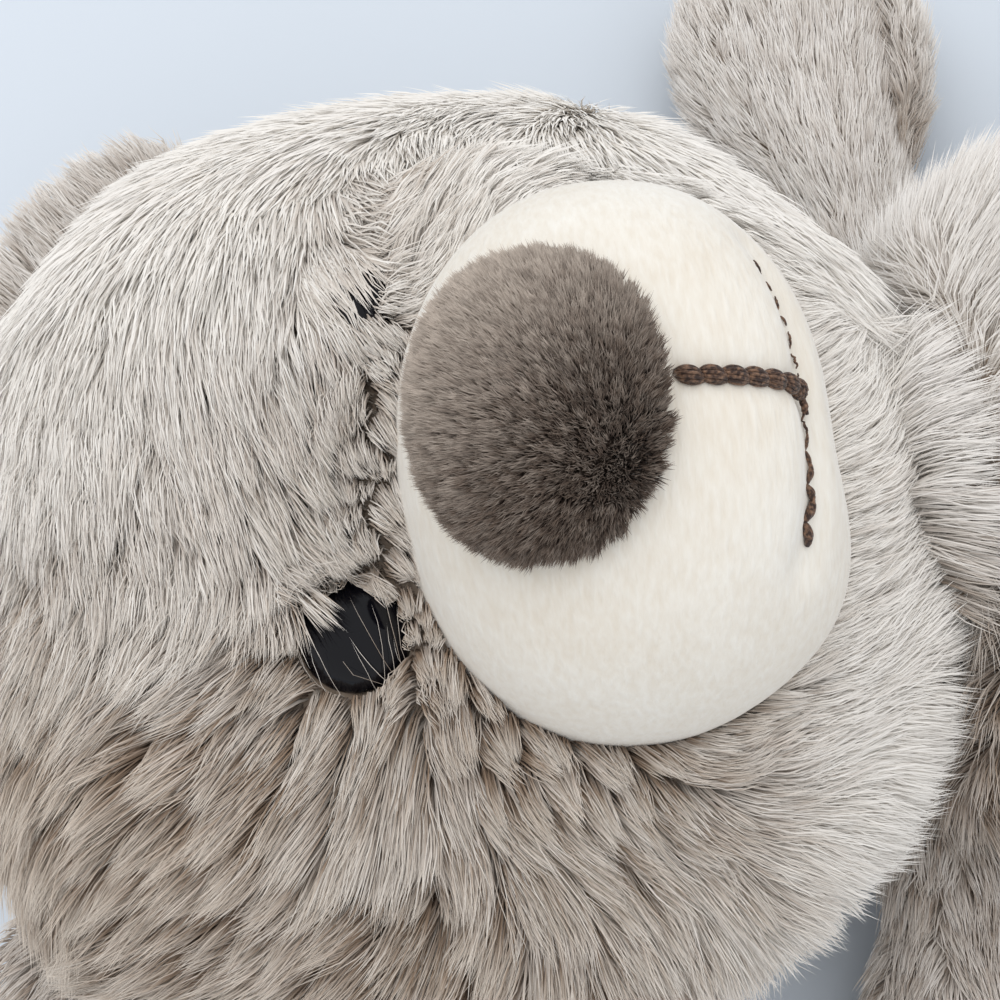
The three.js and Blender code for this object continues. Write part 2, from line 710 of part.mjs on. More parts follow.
// A bead lying in the bottom of the capsule.
function beadSolid(index) {
  const reach = CAPSULE_RADIUS - CAPSULE_WALL - 2 * SEAM_GAP - BEAD_RADIUS;
  const angle = (2 * Math.PI * (index + 0.5)) / BEAD_COUNT;
  const centre = rattleCentre().add(
    new THREE.Vector3(
      BEAD_RING * Math.cos(angle),
      BEAD_RING * Math.sin(angle),
      -Math.sqrt(reach * reach - BEAD_RING * BEAD_RING),
    ),
  );
  return ballSolid(centre, BEAD_RADIUS, BEAD);
}

const bear = new THREE.Group();
bear.name = 'plush_bear_rattle';

function place(name, solid, finish) {
  const mesh = new THREE.Mesh(geometryFrom(solid), new THREE.MeshStandardMaterial(finish));
  mesh.name = name;
  bear.add(mesh);
}

place('head_cover', headCover(), FUR);
place('head_filling', headFilling(), STUFFING);
place('muzzle_cover', muzzleCover(), CREAM);
place('nose_cover', noseCover(), BROWN);
place('nose_filling', noseFilling(), STUFFING);
place('philtrum_stitches', philtrumStitches(), THREAD);
place('mouth_stitches', mouthStitches(), THREAD);
place('neck_filling', ballSolid(NECK, NECK_RADIUS, MEDIUM), STUFFING);
place('body_cover', bodyCover(), FUR);
place('body_filling_front', bodyFilling(1), STUFFING);
place('body_filling_back', bodyFilling(-1), STUFFING);
place('rattle_capsule_base', capsuleBase(), NATURAL_PLASTIC);
place('rattle_capsule_cap', capsuleCap(), NATURAL_PLASTIC);
for (let i = 0; i < BEAD_COUNT; i++) {
  place(`rattle_bead_${i + 1}`, beadSolid(i), BEAD_PLASTIC);
}
for (const [word, side] of [['left', 1], ['right', -1]]) {
  place(`${word}_eye`, eyeSolid(side), BLACK_GLOSS);
  place(`${word}_eye_washer`, eyeWasher(side), NATURAL_PLASTIC);
  place(`${word}_ear_front`, earHalf(side, 1), FUR);
  place(`${word}_ear_back`, earHalf(side, -1), FUR);
  const arm = armParts(side);
  place(`${word}_arm_cover`, arm.cover, FUR);
  place(`${word}_arm_filling`, arm.filling, STUFFING);
  const leg = legParts(side);
  place(`${word}_leg_cover`, leg.cover, FUR);
  place(`${word}_leg_filling`, leg.filling, STUFFING);
  place(`${word}_sole`, soleSolid(side), CREAM);
}

// The origin lies on the table under the middle of the toy's length.
const reach = new THREE.Box3().setFromObject(bear);
bear.position.x = -(reach.min.x + reach.max.x) / 2;

export default bear;
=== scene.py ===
"""Dresses the plush bear rattle: padded skins, long and short pile, stitches, glossy eyes and the studio."""

import logging
import math
from dataclasses import dataclass
from enum import Enum
from typing import Callable

import bpy
import numpy as np
from mathutils import Matrix, Vector
from mathutils.kdtree import KDTree


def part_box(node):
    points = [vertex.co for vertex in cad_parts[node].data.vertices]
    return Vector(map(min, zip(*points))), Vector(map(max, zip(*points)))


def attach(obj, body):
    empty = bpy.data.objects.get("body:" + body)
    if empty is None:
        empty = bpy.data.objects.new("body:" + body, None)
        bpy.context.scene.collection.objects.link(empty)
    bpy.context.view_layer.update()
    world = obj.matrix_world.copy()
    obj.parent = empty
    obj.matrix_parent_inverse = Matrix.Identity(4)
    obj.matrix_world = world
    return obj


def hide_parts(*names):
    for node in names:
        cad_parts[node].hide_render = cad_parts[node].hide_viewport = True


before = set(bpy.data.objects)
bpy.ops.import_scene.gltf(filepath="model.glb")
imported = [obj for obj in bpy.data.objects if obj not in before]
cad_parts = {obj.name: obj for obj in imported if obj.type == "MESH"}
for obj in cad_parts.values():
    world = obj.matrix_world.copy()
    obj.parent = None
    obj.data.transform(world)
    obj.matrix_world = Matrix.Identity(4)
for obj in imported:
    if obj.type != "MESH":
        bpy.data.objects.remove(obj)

log = logging.getLogger("bear")

MM = 0.001
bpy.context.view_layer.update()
NECK_FROM_HEAD = 58.0  # from the head's middle to the neck, along the bear
SIDES = {"left": 1, "right": -1}
SEED = 7
PIECE_STRANDS = 38000  # most strands in one piece
RESTING = 0.4  # lowest that pile reaches, above the table
BAKE_MAP = "OFBake"
UP = np.array([0.0, 0.0, 1.0])

Array = np.ndarray
Field = Callable[[Array, Array], Array]


def middle_along(node: str) -> float:
    """Where a CAD node's middle lies along the row frame's X, in millimetres."""
    low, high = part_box(node)
    return (low.x + high.x) / 2 / MM


HEAD_X = middle_along("neck_filling") - NECK_FROM_HEAD


def to_row(points: Array) -> Array:
    """Turns places measured in millimetres from under the head's middle into metres of the row frame."""
    return (points + np.array([HEAD_X, 0.0, 0.0])) * MM


def from_row(points: Array) -> Array:
    """Turns metres of the row frame into millimetres from under the head's middle."""
    return points / MM - np.array([HEAD_X, 0.0, 0.0])


def unit(vectors: Array) -> Array:
    """Vectors with their length made 1."""
    return vectors / np.maximum(np.linalg.norm(vectors, axis=-1, keepdims=True), 1e-9)


def smooth(values: Array, low: float, high: float) -> Array:
    """An S-curve from 0 at the low value to 1 at the high one."""
    share = np.clip((values - low) / (high - low), 0.0, 1.0)
    return share * share * (3 - 2 * share)


def tangent(directions: Array, normals: Array) -> Array:
    """Directions laid along a surface."""
    across = (directions * normals).sum(-1, keepdims=True)
    return unit(directions - across * normals)


@dataclass(frozen=True)
class Form:
    """A stuffed form: an ellipsoid that can be fuller at its corners, in millimetres."""

    centre: tuple[float, float, float]
    size: tuple[float, float, float]
    fullness: float
    pitch: float = 0.0

    def turn(self) -> Array:
        """The matrix that tips the form about Y by its pitch."""
        c, s = math.cos(math.radians(self.pitch)), math.sin(math.radians(self.pitch))
        return np.array([[c, 0, s], [0, 1, 0], [-s, 0, c]])

    def points(self, directions: Array, offset: float = 0.0) -> Array:
        """The places that directions of the untipped form meet.

        Args:
            directions: one direction in each row.
            offset: how far the form is thickened, or thinned where it is negative.

        Returns:
            One place in each row.
        """
        half = np.array(self.size) / 2 + offset
        share = (np.abs(directions / half) ** self.fullness).sum(-1, keepdims=True)
        return directions * share ** (-1 / self.fullness) @ self.turn().T + np.array(self.centre)

    def level(self, points: Array, offset: float = 0.0) -> Array:
        """How far out places are: under 1 inside the form, and over 1 outside."""
        half = np.array(self.size) / 2 + offset
        local = (points - np.array(self.centre)) @ self.turn()
        return (np.abs(local / half) ** self.fullness).sum(-1) ** (1 / self.fullness)

    def outward(self, points: Array) -> Array:
        """The direction square to the form at places on it."""
        half = np.array(self.size) / 2
        local = (points - np.array(self.centre)) @ self.turn()
        slope = np.sign(local) * np.abs(local / half) ** (self.fullness - 1) / half
        return unit(slope) @ self.turn().T

    def push_out(self, points: Array, offset: float) -> Array:
        """Moves the places that lie inside the form straight out to its surface.

        Args:
            points: places in rows.
            offset: how far outside the form they have to stay.

        Returns:
            The places, moved where they were inside.
        """
        level = self.level(points, offset)[..., None]
        middle = np.array(self.centre)
        return np.where(level < 1, middle + (points - middle) / np.maximum(level, 0.05), points)


HEAD = Form((0, 0, 42.5), (131, 132, 86), 2.3)
MUZZLE = Form((19, 0, 79), (53, 67, 63), 2.2, 8)
NOSE = Form((10, -0.8, 105.5), (29, 34, 23), 2.15, -10)
BODY = Form((104, 0, 37.5), (108, 112, 76), 2.4)
EYES = {1: (-10.5, 24.0), -1: (-12.8, -17.8)}  # the place of each on the face: left, then right
EYE_RADIUS = 6.6
EYE_DOME = 4.4
EYE_SUNK = 4.8  # from the face down to the dome's rim


def head_top(along: float, aside: float) -> Array:
    """The place on top of the head over a point of the plan."""
    half = np.array(HEAD.size) / 2
    share = abs(along / half[0]) ** HEAD.fullness + abs(aside / half[1]) ** HEAD.fullness
    return np.array([along, aside, HEAD.centre[2] + half[2] * (1 - share) ** (1 / HEAD.fullness)])


def eye_form(side: int) -> Form:
    """An eye's dome as a form, for hair to lie over."""
    place = head_top(*EYES[side])
    middle = place - HEAD.outward(place[None])[0] * EYE_SUNK
    return Form(tuple(middle), (2 * EYE_RADIUS, 2 * EYE_RADIUS, 2 * EYE_DOME), 2.0)


class Wire:
    """A shader socket that takes part in arithmetic."""

    def __init__(self, shader: "Shader", socket: bpy.types.NodeSocket) -> None:
        """Keeps the socket and the shader that it belongs to."""
        self.shader = shader
        self.socket = socket

    def math(self, operation: str, *others: "Wire | float") -> "Wire":
        """One Math node on this socket and others."""
        inputs = dict(enumerate([self, *others]))
        return self.shader.node("ShaderNodeMath", {"operation": operation}, inputs)

    def __add__(self, other: "Wire | float") -> "Wire":
        """The sum."""
        return self.math("ADD", other)

    __radd__ = __add__

    def __mul__(self, other: "Wire | float") -> "Wire":
        """The product."""
        return self.math("MULTIPLY", other)

    __rmul__ = __mul__

    def __sub__(self, other: "Wire | float") -> "Wire":
        """The difference."""
        return self.math("SUBTRACT", other)

    def __rsub__(self, other: float) -> "Wire":
        """The difference from a number."""
        return self * -1 + other

    def fraction(self) -> "Wire":
        """What is left of the whole number below."""
        return self.math("FRACT")

    def whole(self) -> "Wire":
        """The whole number below."""
        return self.math("FLOOR")


class Shader:
    """A material under construction."""

    def __init__(self, name: str) -> None:
        """Starts a material with a bare Principled shader."""
        self.material = bpy.data.materials.new(name)
        self.material.use_nodes = True
        self.tree = self.material.node_tree
        self.tree.nodes.clear()
        self.output = self.tree.nodes.new("ShaderNodeOutputMaterial")

    def node(self, kind: str, settings: dict, inputs: dict, output: int | str = 0) -> Wire:
        """Adds any node.

        Args:
            kind: the node's type.
            settings: its properties, set first; "stops" gives a ramp's places and colours.
            inputs: values or wires by socket name or number.
            output: the socket that is returned.

        Returns:
            The output socket as a wire.
        """
        made = self.tree.nodes.new(kind)
        for key, value in settings.items():
            if key == "stops":
                self.set_stops(made.color_ramp, value)
            else:
                setattr(made, key, value)
        for key, value in inputs.items():
            if isinstance(value, Wire):
                self.tree.links.new(value.socket, made.inputs[key])
            else:
                made.inputs[key].default_value = value
        return Wire(self, made.outputs[output])

    @staticmethod
    def set_stops(ramp: bpy.types.ColorRamp, stops: list) -> None:
        """Gives a ramp its places and colours."""
        while len(ramp.elements) < len(stops):
            ramp.elements.new(0.5)
        for element, (place, colour) in zip(ramp.elements, stops):
            element.position = place
            element.color = (*colour, 1)

    def mix(self, share: Wire | float, first: Wire | tuple, second: Wire | tuple) -> Wire:
        """Blends two colours by a share."""
        return self.blend("MIX", share, first, second)

    def blend(self, how: str, share: Wire | float, first: Wire | tuple, second: Wire | tuple) -> Wire:
        """Combines two colours by one of the Mix node's ways."""
        full = {6: first, 7: second}
        inputs = {k: (*v, 1) if isinstance(v, tuple) else v for k, v in full.items()}
        settings = {"data_type": "RGBA", "blend_type": how}
        return self.node("ShaderNodeMix", settings, {0: share, **inputs}, 2)

    def noise(self, scale: float, detail: float = 3.0, vector: Wire | None = None) -> Wire:
        """Noise over the object's own coordinates, or over a vector."""
        place = vector or self.node("ShaderNodeTexCoord", {}, {}, "Object")
        inputs = {"Vector": place, "Scale": scale, "Detail": detail}
        return self.node("ShaderNodeTexNoise", {}, inputs, 0)

    def ramp(self, value: Wire, stops: list) -> Wire:
        """A colour ramp over a value."""
        return self.node("ShaderNodeValToRGB", {"stops": stops}, {"Fac": value})

    def bump(self, height: Wire, distance: float, strength: float = 1.0) -> Wire:
        """A bump from a height, its depth in metres."""
        return self.node("ShaderNodeBump", {}, {"Height": height, "Distance": distance, "Strength": strength})

    def finish(self, **inputs: object) -> bpy.types.Material:
        """Adds the Principled shader with these sockets and closes the material."""
        named = {key.replace("_", " "): value for key, value in inputs.items()}
        surface = self.node("ShaderNodeBsdfPrincipled", {}, named)
        self.tree.links.new(surface.socket, self.output.inputs["Surface"])
        return self.material


def linear(red: int, green: int, blue: int) -> tuple[float, float, float]:
    """A colour given as a screen shows it, in the shader's linear values."""
    return tuple(((c / 255 + 0.055) / 1.055) ** 2.4 for c in (red, green, blue))


TONES = 32  # columns of the palette: how light a strand is
ROOTS = 16  # rows of the palette: how light a strand's root is


@dataclass(frozen=True)
class PileFinish:
    """Hair of faux fur: dark at the root and light at the tip, by a palette of tones and roots."""

    root: tuple
    shade: tuple
    body: tuple
    tip: tuple
    palest: tuple
    contrast: float = 0.24
    roughness: float = 0.8
    sheen: float = 0.2

    def material(self, name: str) -> bpy.types.Material:
        """Makes the material, which reads only the strand's place in the palette."""
        made = Shader(name)
        place = made.node("ShaderNodeUVMap", {"uv_map": BAKE_MAP}, {})
        across = made.node("ShaderNodeSeparateXYZ", {}, {0: place}, 0)
        along = made.node("ShaderNodeSeparateXYZ", {}, {0: place}, 1)
        tone = (across * TONES).whole() * (1 / (TONES - 1))
        pale = (along * ROOTS).whole() * (1 / (ROOTS - 1))
        length = (along * ROOTS).fraction()
        deep = made.ramp(length, [(0.0, self.root), (0.5, self.shade), (0.86, self.body), (1.0, self.tip)])
        # The soft palette: pale roots up to near-white tips, which on the far, window side paint light.
        soft = made.ramp(length, [(0.0, self.body), (0.3, self.tip), (0.7, self.palest)])
        colour = made.mix(pale, deep, soft)
        dark = tone * self.contrast + (1 - self.contrast)
        grey = made.node("ShaderNodeCombineColor", {}, {0: dark, 1: dark, 2: dark})
        colour = made.blend("MULTIPLY", 1.0, colour, grey)
        return made.finish(
            Base_Color=colour,
            Roughness=self.roughness,
            Specular_IOR_Level=0.25,
            Sheen_Weight=self.sheen,
            Sheen_Roughness=0.6,
        )


@dataclass(frozen=True)
class PlushFinish:
    """Short pile fabric: fine nap with soft patches where it lies another way."""

    light: tuple
    dark: tuple
    nap: float = 1500.0
    depth: float = 0.00025
    roughness: float = 0.9
    sheen: float = 0.4

    def material(self, name: str) -> bpy.types.Material:
        """Makes the material from two sizes of noise."""
        made = Shader(name)
        patches = made.noise(55.0, 2.0)
        place = made.node("ShaderNodeTexCoord", {}, {}, "Object")
        drawn = made.node("ShaderNodeMapping", {}, {"Vector": place, "Scale": (1.0, 0.22, 0.5)})
        nap = made.noise(self.nap, 2.0, drawn)
        share = patches * 0.6 + nap * 0.55 - 0.08
        colour = made.ramp(share, [(0.3, self.dark), (0.7, self.light)])
        return made.finish(
            Base_Color=colour,
            Normal=made.bump(nap + patches * 1.5, self.depth, 0.6),
            Roughness=self.roughness,
            Specular_IOR_Level=0.2,
            Sheen_Weight=self.sheen,
            Sheen_Roughness=0.5,
        )


@dataclass(frozen=True)
class YarnFinish:
    """Embroidery yarn: bundles of filaments, with paler fibres painted in as highlights."""

    dark: tuple
    # the paler fibres: a painted highlight
    light: tuple

    def material(self, name: str) -> bpy.types.Material:
        """Makes the material from fine stretched noise."""
        made = Shader(name)
        fibres = made.noise(2200.0, 4.0)
        # Paler fibres over the noise paint the yarn's highlights into its colour.
        colour = made.ramp(fibres, [(0.42, self.dark), (0.75, self.light)])
        return made.finish(
            Base_Color=colour,
            Normal=made.bump(fibres, 0.00012, 0.8),
            Roughness=0.5,
            Specular_IOR_Level=0.45,
            Sheen_Weight=0.15,
        )


@dataclass(frozen=True)
class MouldedFinish:
    """Moulded plastic with faint flow marks."""

    colour: tuple
    roughness: float
    specular: float = 0.5

    def material(self, name: str) -> bpy.types.Material:
        """Makes the material with a slight variation of colour and roughness."""
        made = Shader(name)
        marks = made.noise(140.0, 4.0)
        shaded = tuple(c * 0.9 for c in self.colour)
        return made.finish(
            Base_Color=made.ramp(marks, [(0.35, shaded), (0.65, self.colour)]),
            Roughness=marks * (self.roughness * 0.3) + self.roughness * 0.85,
            Normal=made.bump(marks, 0.00002, 0.3),
            Specular_IOR_Level=self.specular,
        )


class Finish(Enum):
    """The finishes of the bear."""

    FUR = PileFinish(
        linear(64, 45, 33), linear(150, 128, 108), linear(222, 210, 196), linear(245, 238, 228), linear(253, 249, 243)
    )
    LIMB_FUR = PileFinish(
        linear(82, 61, 47), linear(158, 138, 120), linear(222, 210, 197), linear(244, 237, 228), linear(252, 248, 243)
    )
    NOSE_PILE = PileFinish(
        linear(44, 32, 26), linear(70, 55, 46), linear(122, 105, 92), linear(174, 156, 141), linear(220, 206, 192), 0.5
    )
    BACKING = PlushFinish(linear(176, 160, 144), linear(132, 115, 99), 900.0)
    CREAM_PLUSH = PlushFinish(linear(240, 236, 227), linear(227, 218, 203))
    BROWN_BACKING = PlushFinish(linear(92, 78, 68), linear(58, 48, 41), 900.0)
    # The yarn's second colour is its painted highlight, as paler fibres.
    YARN = YarnFinish(linear(48, 29, 21), linear(146, 112, 88))
    EYE = MouldedFinish((0.003, 0.003, 0.005), 0.08, 0.3)
    CAPSULE = MouldedFinish(linear(222, 222, 216), 0.42)
    BEAD = MouldedFinish(linear(217, 164, 65), 0.28)


MADE: dict[Finish, bpy.types.Material] = {}


def material_of(finish: Finish) -> bpy.types.Material:
    """The material of a finish, made once."""
    if finish not in MADE:
        MADE[finish] = finish.value.material(finish.name.lower())
    return MADE[finish]


def deselect() -> None:
    """Leaves nothing selected."""
    bpy.ops.object.select_all(action="DESELECT")


def coordinates(obj: bpy.types.Object) -> Array:
    """A mesh's vertices in millimetres from under the head's middle."""
    flat = np.empty(len(obj.data.vertices) * 3)
    obj.data.vertices.foreach_get("co", flat)
    return from_row(flat.reshape(-1, 3))


def set_coordinates(obj: bpy.types.Object, points: Array) -> None:
    """Moves a mesh's vertices to places in millimetres from under the head's middle."""
    obj.data.vertices.foreach_set("co", to_row(points).ravel())
    obj.data.update()


def dress(obj: bpy.types.Object, finish: Finish, body: str) -> bpy.types.Object:
    """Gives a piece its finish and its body.

    Args:
        obj: the piece, in place.
        finish: what it is covered in.
        body: the CAD body that it moves with.

    Returns:
        The piece.
    """
    obj.data.materials.clear()
    obj.data.materials.append(material_of(finish))
    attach(obj, body)
    log.info("%s: %d faces on %s", obj.name, len(obj.data.polygons), body)
    return obj


def primitive_ball(
    name: str, form: Form, offset: float, segments: int, rings: int, lying: bool = False
) -> bpy.types.Object:
    """A ball drawn out to a stuffed form.

    Args:
        name: the piece's name.
        form: the form that it takes.
        offset: how far outside the form it lies.
        segments: faces round it.
        rings: faces from pole to pole.
        lying: whether its poles lie along X, as a flat pad needs, and not upright.

    Returns:
        The new object, with its place in its mesh.
    """
    deselect()
    bpy.ops.mesh.primitive_uv_sphere_add(segments=segments, ring_count=rings, radius=1)
    made = bpy.context.object
    made.name = name
    flat = np.empty(len(made.data.vertices) * 3)
    made.data.vertices.foreach_get("co", flat)
    directions = unit(flat.reshape(-1, 3))
    if lying:
        directions = np.roll(directions, 1, axis=1)
    set_coordinates(made, form.points(directions, offset))
    bpy.ops.object.shade_smooth()
    return made


def lofted(name: str, rings: list[tuple[float, float, float, float]], around: int) -> bpy.types.Object:
    """A limb drawn along +X by extruding and resizing one ring after another.

    Args:
        name: the piece's name.
        rings: distance along, half width, half thickness and height of each ring, in millimetres.
        around: vertices in a ring.

    Returns:
        The new object, along +X from its own origin, in metres.
    """
    deselect()
    first = rings[0]
    bpy.ops.mesh.primitive_circle_add(
        vertices=around,
        radius=MM,
        fill_type="TRIFAN",
        location=(first[0] * MM, 0, first[3] * MM),
        rotation=(0, math.pi / 2, 0),
    )
    made = bpy.context.object
    made.name = name
    bpy.ops.object.transform_apply(location=True, rotation=True, scale=True)
    bpy.ops.object.mode_set(mode="EDIT")
    bpy.ops.mesh.select_all(action="SELECT")
    bpy.ops.transform.resize(value=(1, first[1], first[2]), center_override=(first[0] * MM, 0, first[3] * MM))
    for before, ring in zip(rings, rings[1:]):
        step = ((ring[0] - before[0]) * MM, 0, (ring[3] - before[3]) * MM)
        bpy.ops.mesh.extrude_region_move(TRANSFORM_OT_translate={"value": step})
        centre = (ring[0] * MM, 0, ring[3] * MM)
        bpy.ops.transform.resize(value=(1, ring[1] / before[1], ring[2] / before[2]), center_override=centre)
    bpy.ops.mesh.select_all(action="SELECT")
    bpy.ops.mesh.normals_make_consistent(inside=False)
    bpy.ops.object.mode_set(mode="OBJECT")
    bpy.ops.object.shade_smooth()
    return made


@dataclass(frozen=True)
class Stuffing:
    """How firmly a skin is filled: the cloth's pressure and how far it may swell, in millimetres."""

    pressure: float = 4.0
    swell: float = 1.5
    voxel: float = 4.0
    steps: int = 20
    fill: float = 0.85

    def remesh(self, obj: bpy.types.Object) -> None:
        """Gives a skin even faces, which cloth needs."""
        select_only(obj)
        remesh = obj.modifiers.new("even", "REMESH")
        remesh.mode = "VOXEL"
        remesh.voxel_size = self.voxel * MM
        bpy.ops.object.modifier_apply(modifier=remesh.name)

    def inflate(self, obj: bpy.types.Object, held: Array | None = None) -> None:
        """Swells a skin with stuffing, then rounds it once more.

        Args:
            obj: the closed skin.
            held: how firmly each vertex is held, from 0 to 1, such as along a seam.
        """
        before = coordinates(obj)
        after = self.simulate(obj, held)
        step = after - before
        reach = np.linalg.norm(step, axis=1, keepdims=True)
        set_coordinates(obj, before + step * np.minimum(1, self.swell / np.maximum(reach, 1e-6)))
        select_only(obj)
        rounding = obj.modifiers.new("rounding", "SUBSURF")
        rounding.levels = rounding.render_levels = 1
        bpy.ops.object.modifier_apply(modifier=rounding.name)
        bpy.ops.object.shade_smooth()

    def simulate(self, obj: bpy.types.Object, held: Array | None) -> Array:
        """Runs the cloth and returns where its vertices end."""
        cloth = obj.modifiers.new("stuffing", "CLOTH")
        cloth.settings.use_pressure = True
        cloth.settings.uniform_pressure_force = self.pressure
        cloth.settings.effector_weights.gravity = 0
        if held is not None:
            group = obj.vertex_groups.new(name="held")
            for index in np.nonzero(held > 0)[0]:
                group.add([int(index)], float(held[index]), "REPLACE")
            cloth.settings.vertex_group_mass = group.name
        scene = bpy.context.scene
        for step in range(1, self.steps + 1):
            scene.frame_set(step)
        evaluated = obj.evaluated_get(bpy.context.evaluated_depsgraph_get())
        flat = np.empty(len(evaluated.data.vertices) * 3)
        evaluated.data.vertices.foreach_get("co", flat)
        obj.modifiers.remove(cloth)
        scene.frame_set(1)
        return from_row(flat.reshape(-1, 3))


def select_only(obj: bpy.types.Object) -> None:
    """Makes one object the selected and active one."""
    deselect()
    obj.select_set(True)
    bpy.context.view_layer.objects.active = obj


@dataclass(frozen=True)
class FlowMark:
    """A place on the head's plan where the hair lies at an angle: 0 to the feet, 90 to the bear's left."""

    along: float
    aside: float
    angle: float


@dataclass(frozen=True)
class Parting:
    """A place on the head's plan where the hair is parted down to its roots."""

    along: float
    aside: float
    radius: float


HEAD_FLOW = [
    FlowMark(0, 31, 60),
    FlowMark(7, 37, 48),
    FlowMark(-50, 55, -150),
    FlowMark(-35, 60, -145),
    FlowMark(-18, 62, -148),
    FlowMark(-4, 63, -155),
    FlowMark(9, 62, -158),
    FlowMark(19, 61, -150),
    FlowMark(29, 60, -28),
    FlowMark(39, 56, -30),
    FlowMark(12, 52, -125),
    FlowMark(-41, 29, -96),
    FlowMark(-22, 31, -93),
    FlowMark(4, 49, -90),
    FlowMark(18, 44, -85),
    FlowMark(37, 50, -65),
    FlowMark(55, 30, -75),
    FlowMark(-35, 10, -82),
    FlowMark(-21, 16, -72),
    FlowMark(-13, 7, -66),
    FlowMark(-46, 1, -65),
    FlowMark(-37, 4, -66),
    FlowMark(-23, 1, -66),
    FlowMark(-12, -7, -50),
    FlowMark(-24, -17, -152),
    FlowMark(-18, -12, -38),
    FlowMark(-30, -23, -148),
    FlowMark(-37, -29, -143),
    FlowMark(-19, -29, -133),
    FlowMark(-13, -31, -118),
    FlowMark(-9, -34, -100),
    FlowMark(-3, -37, -84),
    FlowMark(3, -33, -60),
    FlowMark(9, -40, -52),
    FlowMark(-28, -43, -148),
    FlowMark(-16, -46, -143),
    FlowMark(-41, -49, -150),
    FlowMark(1, -48, -112),
    FlowMark(18, -47, -66),
    FlowMark(30, -45, -42),
    FlowMark(43, -40, -34),
    FlowMark(36, -51, -55),
    FlowMark(24, -55, -80),
    FlowMark(51, -29, -16),
    FlowMark(57, -19, -6),
    FlowMark(53, -12, 8),
    FlowMark(55, -2, 22),
    FlowMark(46, -20, 30),
    FlowMark(34, -33, 25),
    FlowMark(53, 10, 40),
    FlowMark(-51, -12, -122),
    FlowMark(-53, -26, -114),
    FlowMark(-51, -36, -118),
]

PARTINGS = [
    Parting(-12, 1, 5),
    Parting(-7, 39, 6),
    Parting(-2, -1, 4),
    Parting(-52, 0, 5),
    Parting(-9, -41, 5),
    Parting(-5, -44, 5),
    Parting(-27, -45, 6),
    Parting(-32, -21, 4),
]


@dataclass(frozen=True)
class PaleMark:
    """A place on the head's plan and how light the roots are there: 0 where they are dark, 1 where they are light;
    partly dark roots that show, partly painted shade on the near side and painted light on the far, window side.
    """

    along: float
    aside: float
    pale: float


# Mostly low on the near side and high on the far, window side: painted shade and painted light in the roots' colour,
# besides dark roots that show.
PALE_MARKS = [
    PaleMark(-45, 15, 0.85),
    PaleMark(-7, 38, 0.4),
    PaleMark(-22, 40, 1.0),
    PaleMark(6, 44, 1.0),
    PaleMark(10, 52, 1.1),
    PaleMark(-12, 56, 1.2),
    PaleMark(24, 60, 1.4),
    PaleMark(-40, 52, 1.2),
    PaleMark(-30, 45, 1.0),
    PaleMark(50, 30, 1.0),
    PaleMark(60, 0, 1.0),
    PaleMark(-30, -8, 0.55),
    PaleMark(-12, 6, 0.45),
    PaleMark(-52, -8, 0.4),
    PaleMark(-50, -28, -0.3),
    PaleMark(-34, -33, -0.15),
    PaleMark(-10, -34, 0.35),
    PaleMark(-8, -48, 0.02),
    PaleMark(-35, -52, 0.05),
    PaleMark(8, -60, -0.15),
    PaleMark(20, -44, 0.3),
    PaleMark(34, -52, 0.75),
    PaleMark(46, -40, 1.3),
    PaleMark(54, -22, 1.1),
]


def head_pale(points: Array) -> Array:
    """How light the roots of the head's hair are, from the marks nearest to each place, painted shade and light
    included.
    """
    marks = np.array([(m.along, m.aside) for m in PALE_MARKS])
    gaps = np.linalg.norm(points[:, None, :2] - marks[None], axis=-1)
    shares = 1 / (gaps**2 + 36.0) ** 1.5
    marked = (shares * np.array([m.pale for m in PALE_MARKS])).sum(1) / shares.sum(1)
    return 0.5 + (marked - 0.5) * smooth(points[:, 2], 4, 44)


def head_flow(points: Array, normals: Array) -> Array:
    """Which way the hair of the head lies, from the marks nearest to each place."""
    marks = np.array([(m.along, m.aside) for m in HEAD_FLOW])
    angles = np.radians([m.angle for m in HEAD_FLOW])
    gaps = np.linalg.norm(points[:, None, :2] - marks[None], axis=-1)
    shares = 1 / (gaps**2 + 9.0) ** 1.6
    east = (shares * np.cos(angles)).sum(1)
    north = (shares * np.sin(angles)).sum(1)
    flow = unit(np.stack([east, north, np.zeros(len(points))], 1))
    far = smooth(points[:, 1], 10, 40)
    slope = normals[:, 2] + 0.5 * far
    hanging = 1.4 * (1 - smooth(slope, -0.1, 0.35))
    rising = 0.25 * far * smooth(normals[:, 2], -0.35, 0.05) * (1 - smooth(normals[:, 2], 0.25, 0.7))
    return tangent(flow + (rising - hanging * np.sign(normals[:, 2] + 0.6))[:, None] * UP, normals)


def along_axis(axis: tuple[float, float, float], droop: float = 0.3) -> Field:
    """A field of hair that lies along one direction and droops a little.

    Args:
        axis: the direction.
        droop: how much it turns to the ground.

    Returns:
        The field.
    """

    def field(points: Array, normals: Array) -> Array:
        """The direction at each place."""
        towards = np.broadcast_to(np.array(axis, float) - droop * UP, points.shape)
        return tangent(towards + 1e-3, normals)

    return field


def towards(centre: tuple[float, float, float]) -> Field:
    """A field of hair that leans to a point."""

    def field(points: Array, normals: Array) -> Array:
        """The direction at each place."""
        return tangent(np.array(centre) - points, normals)

    return field


def away_from(centre: tuple[float, float, float], swirl: float = 0.0) -> Field:
    """A field of hair that spreads away from a point, with a swirl round it."""

    def field(points: Array, normals: Array) -> Array:
        """The direction at each place."""
        outward = unit(points - np.array(centre))
        return tangent(outward + swirl * np.cross(normals, outward), normals)

    return field


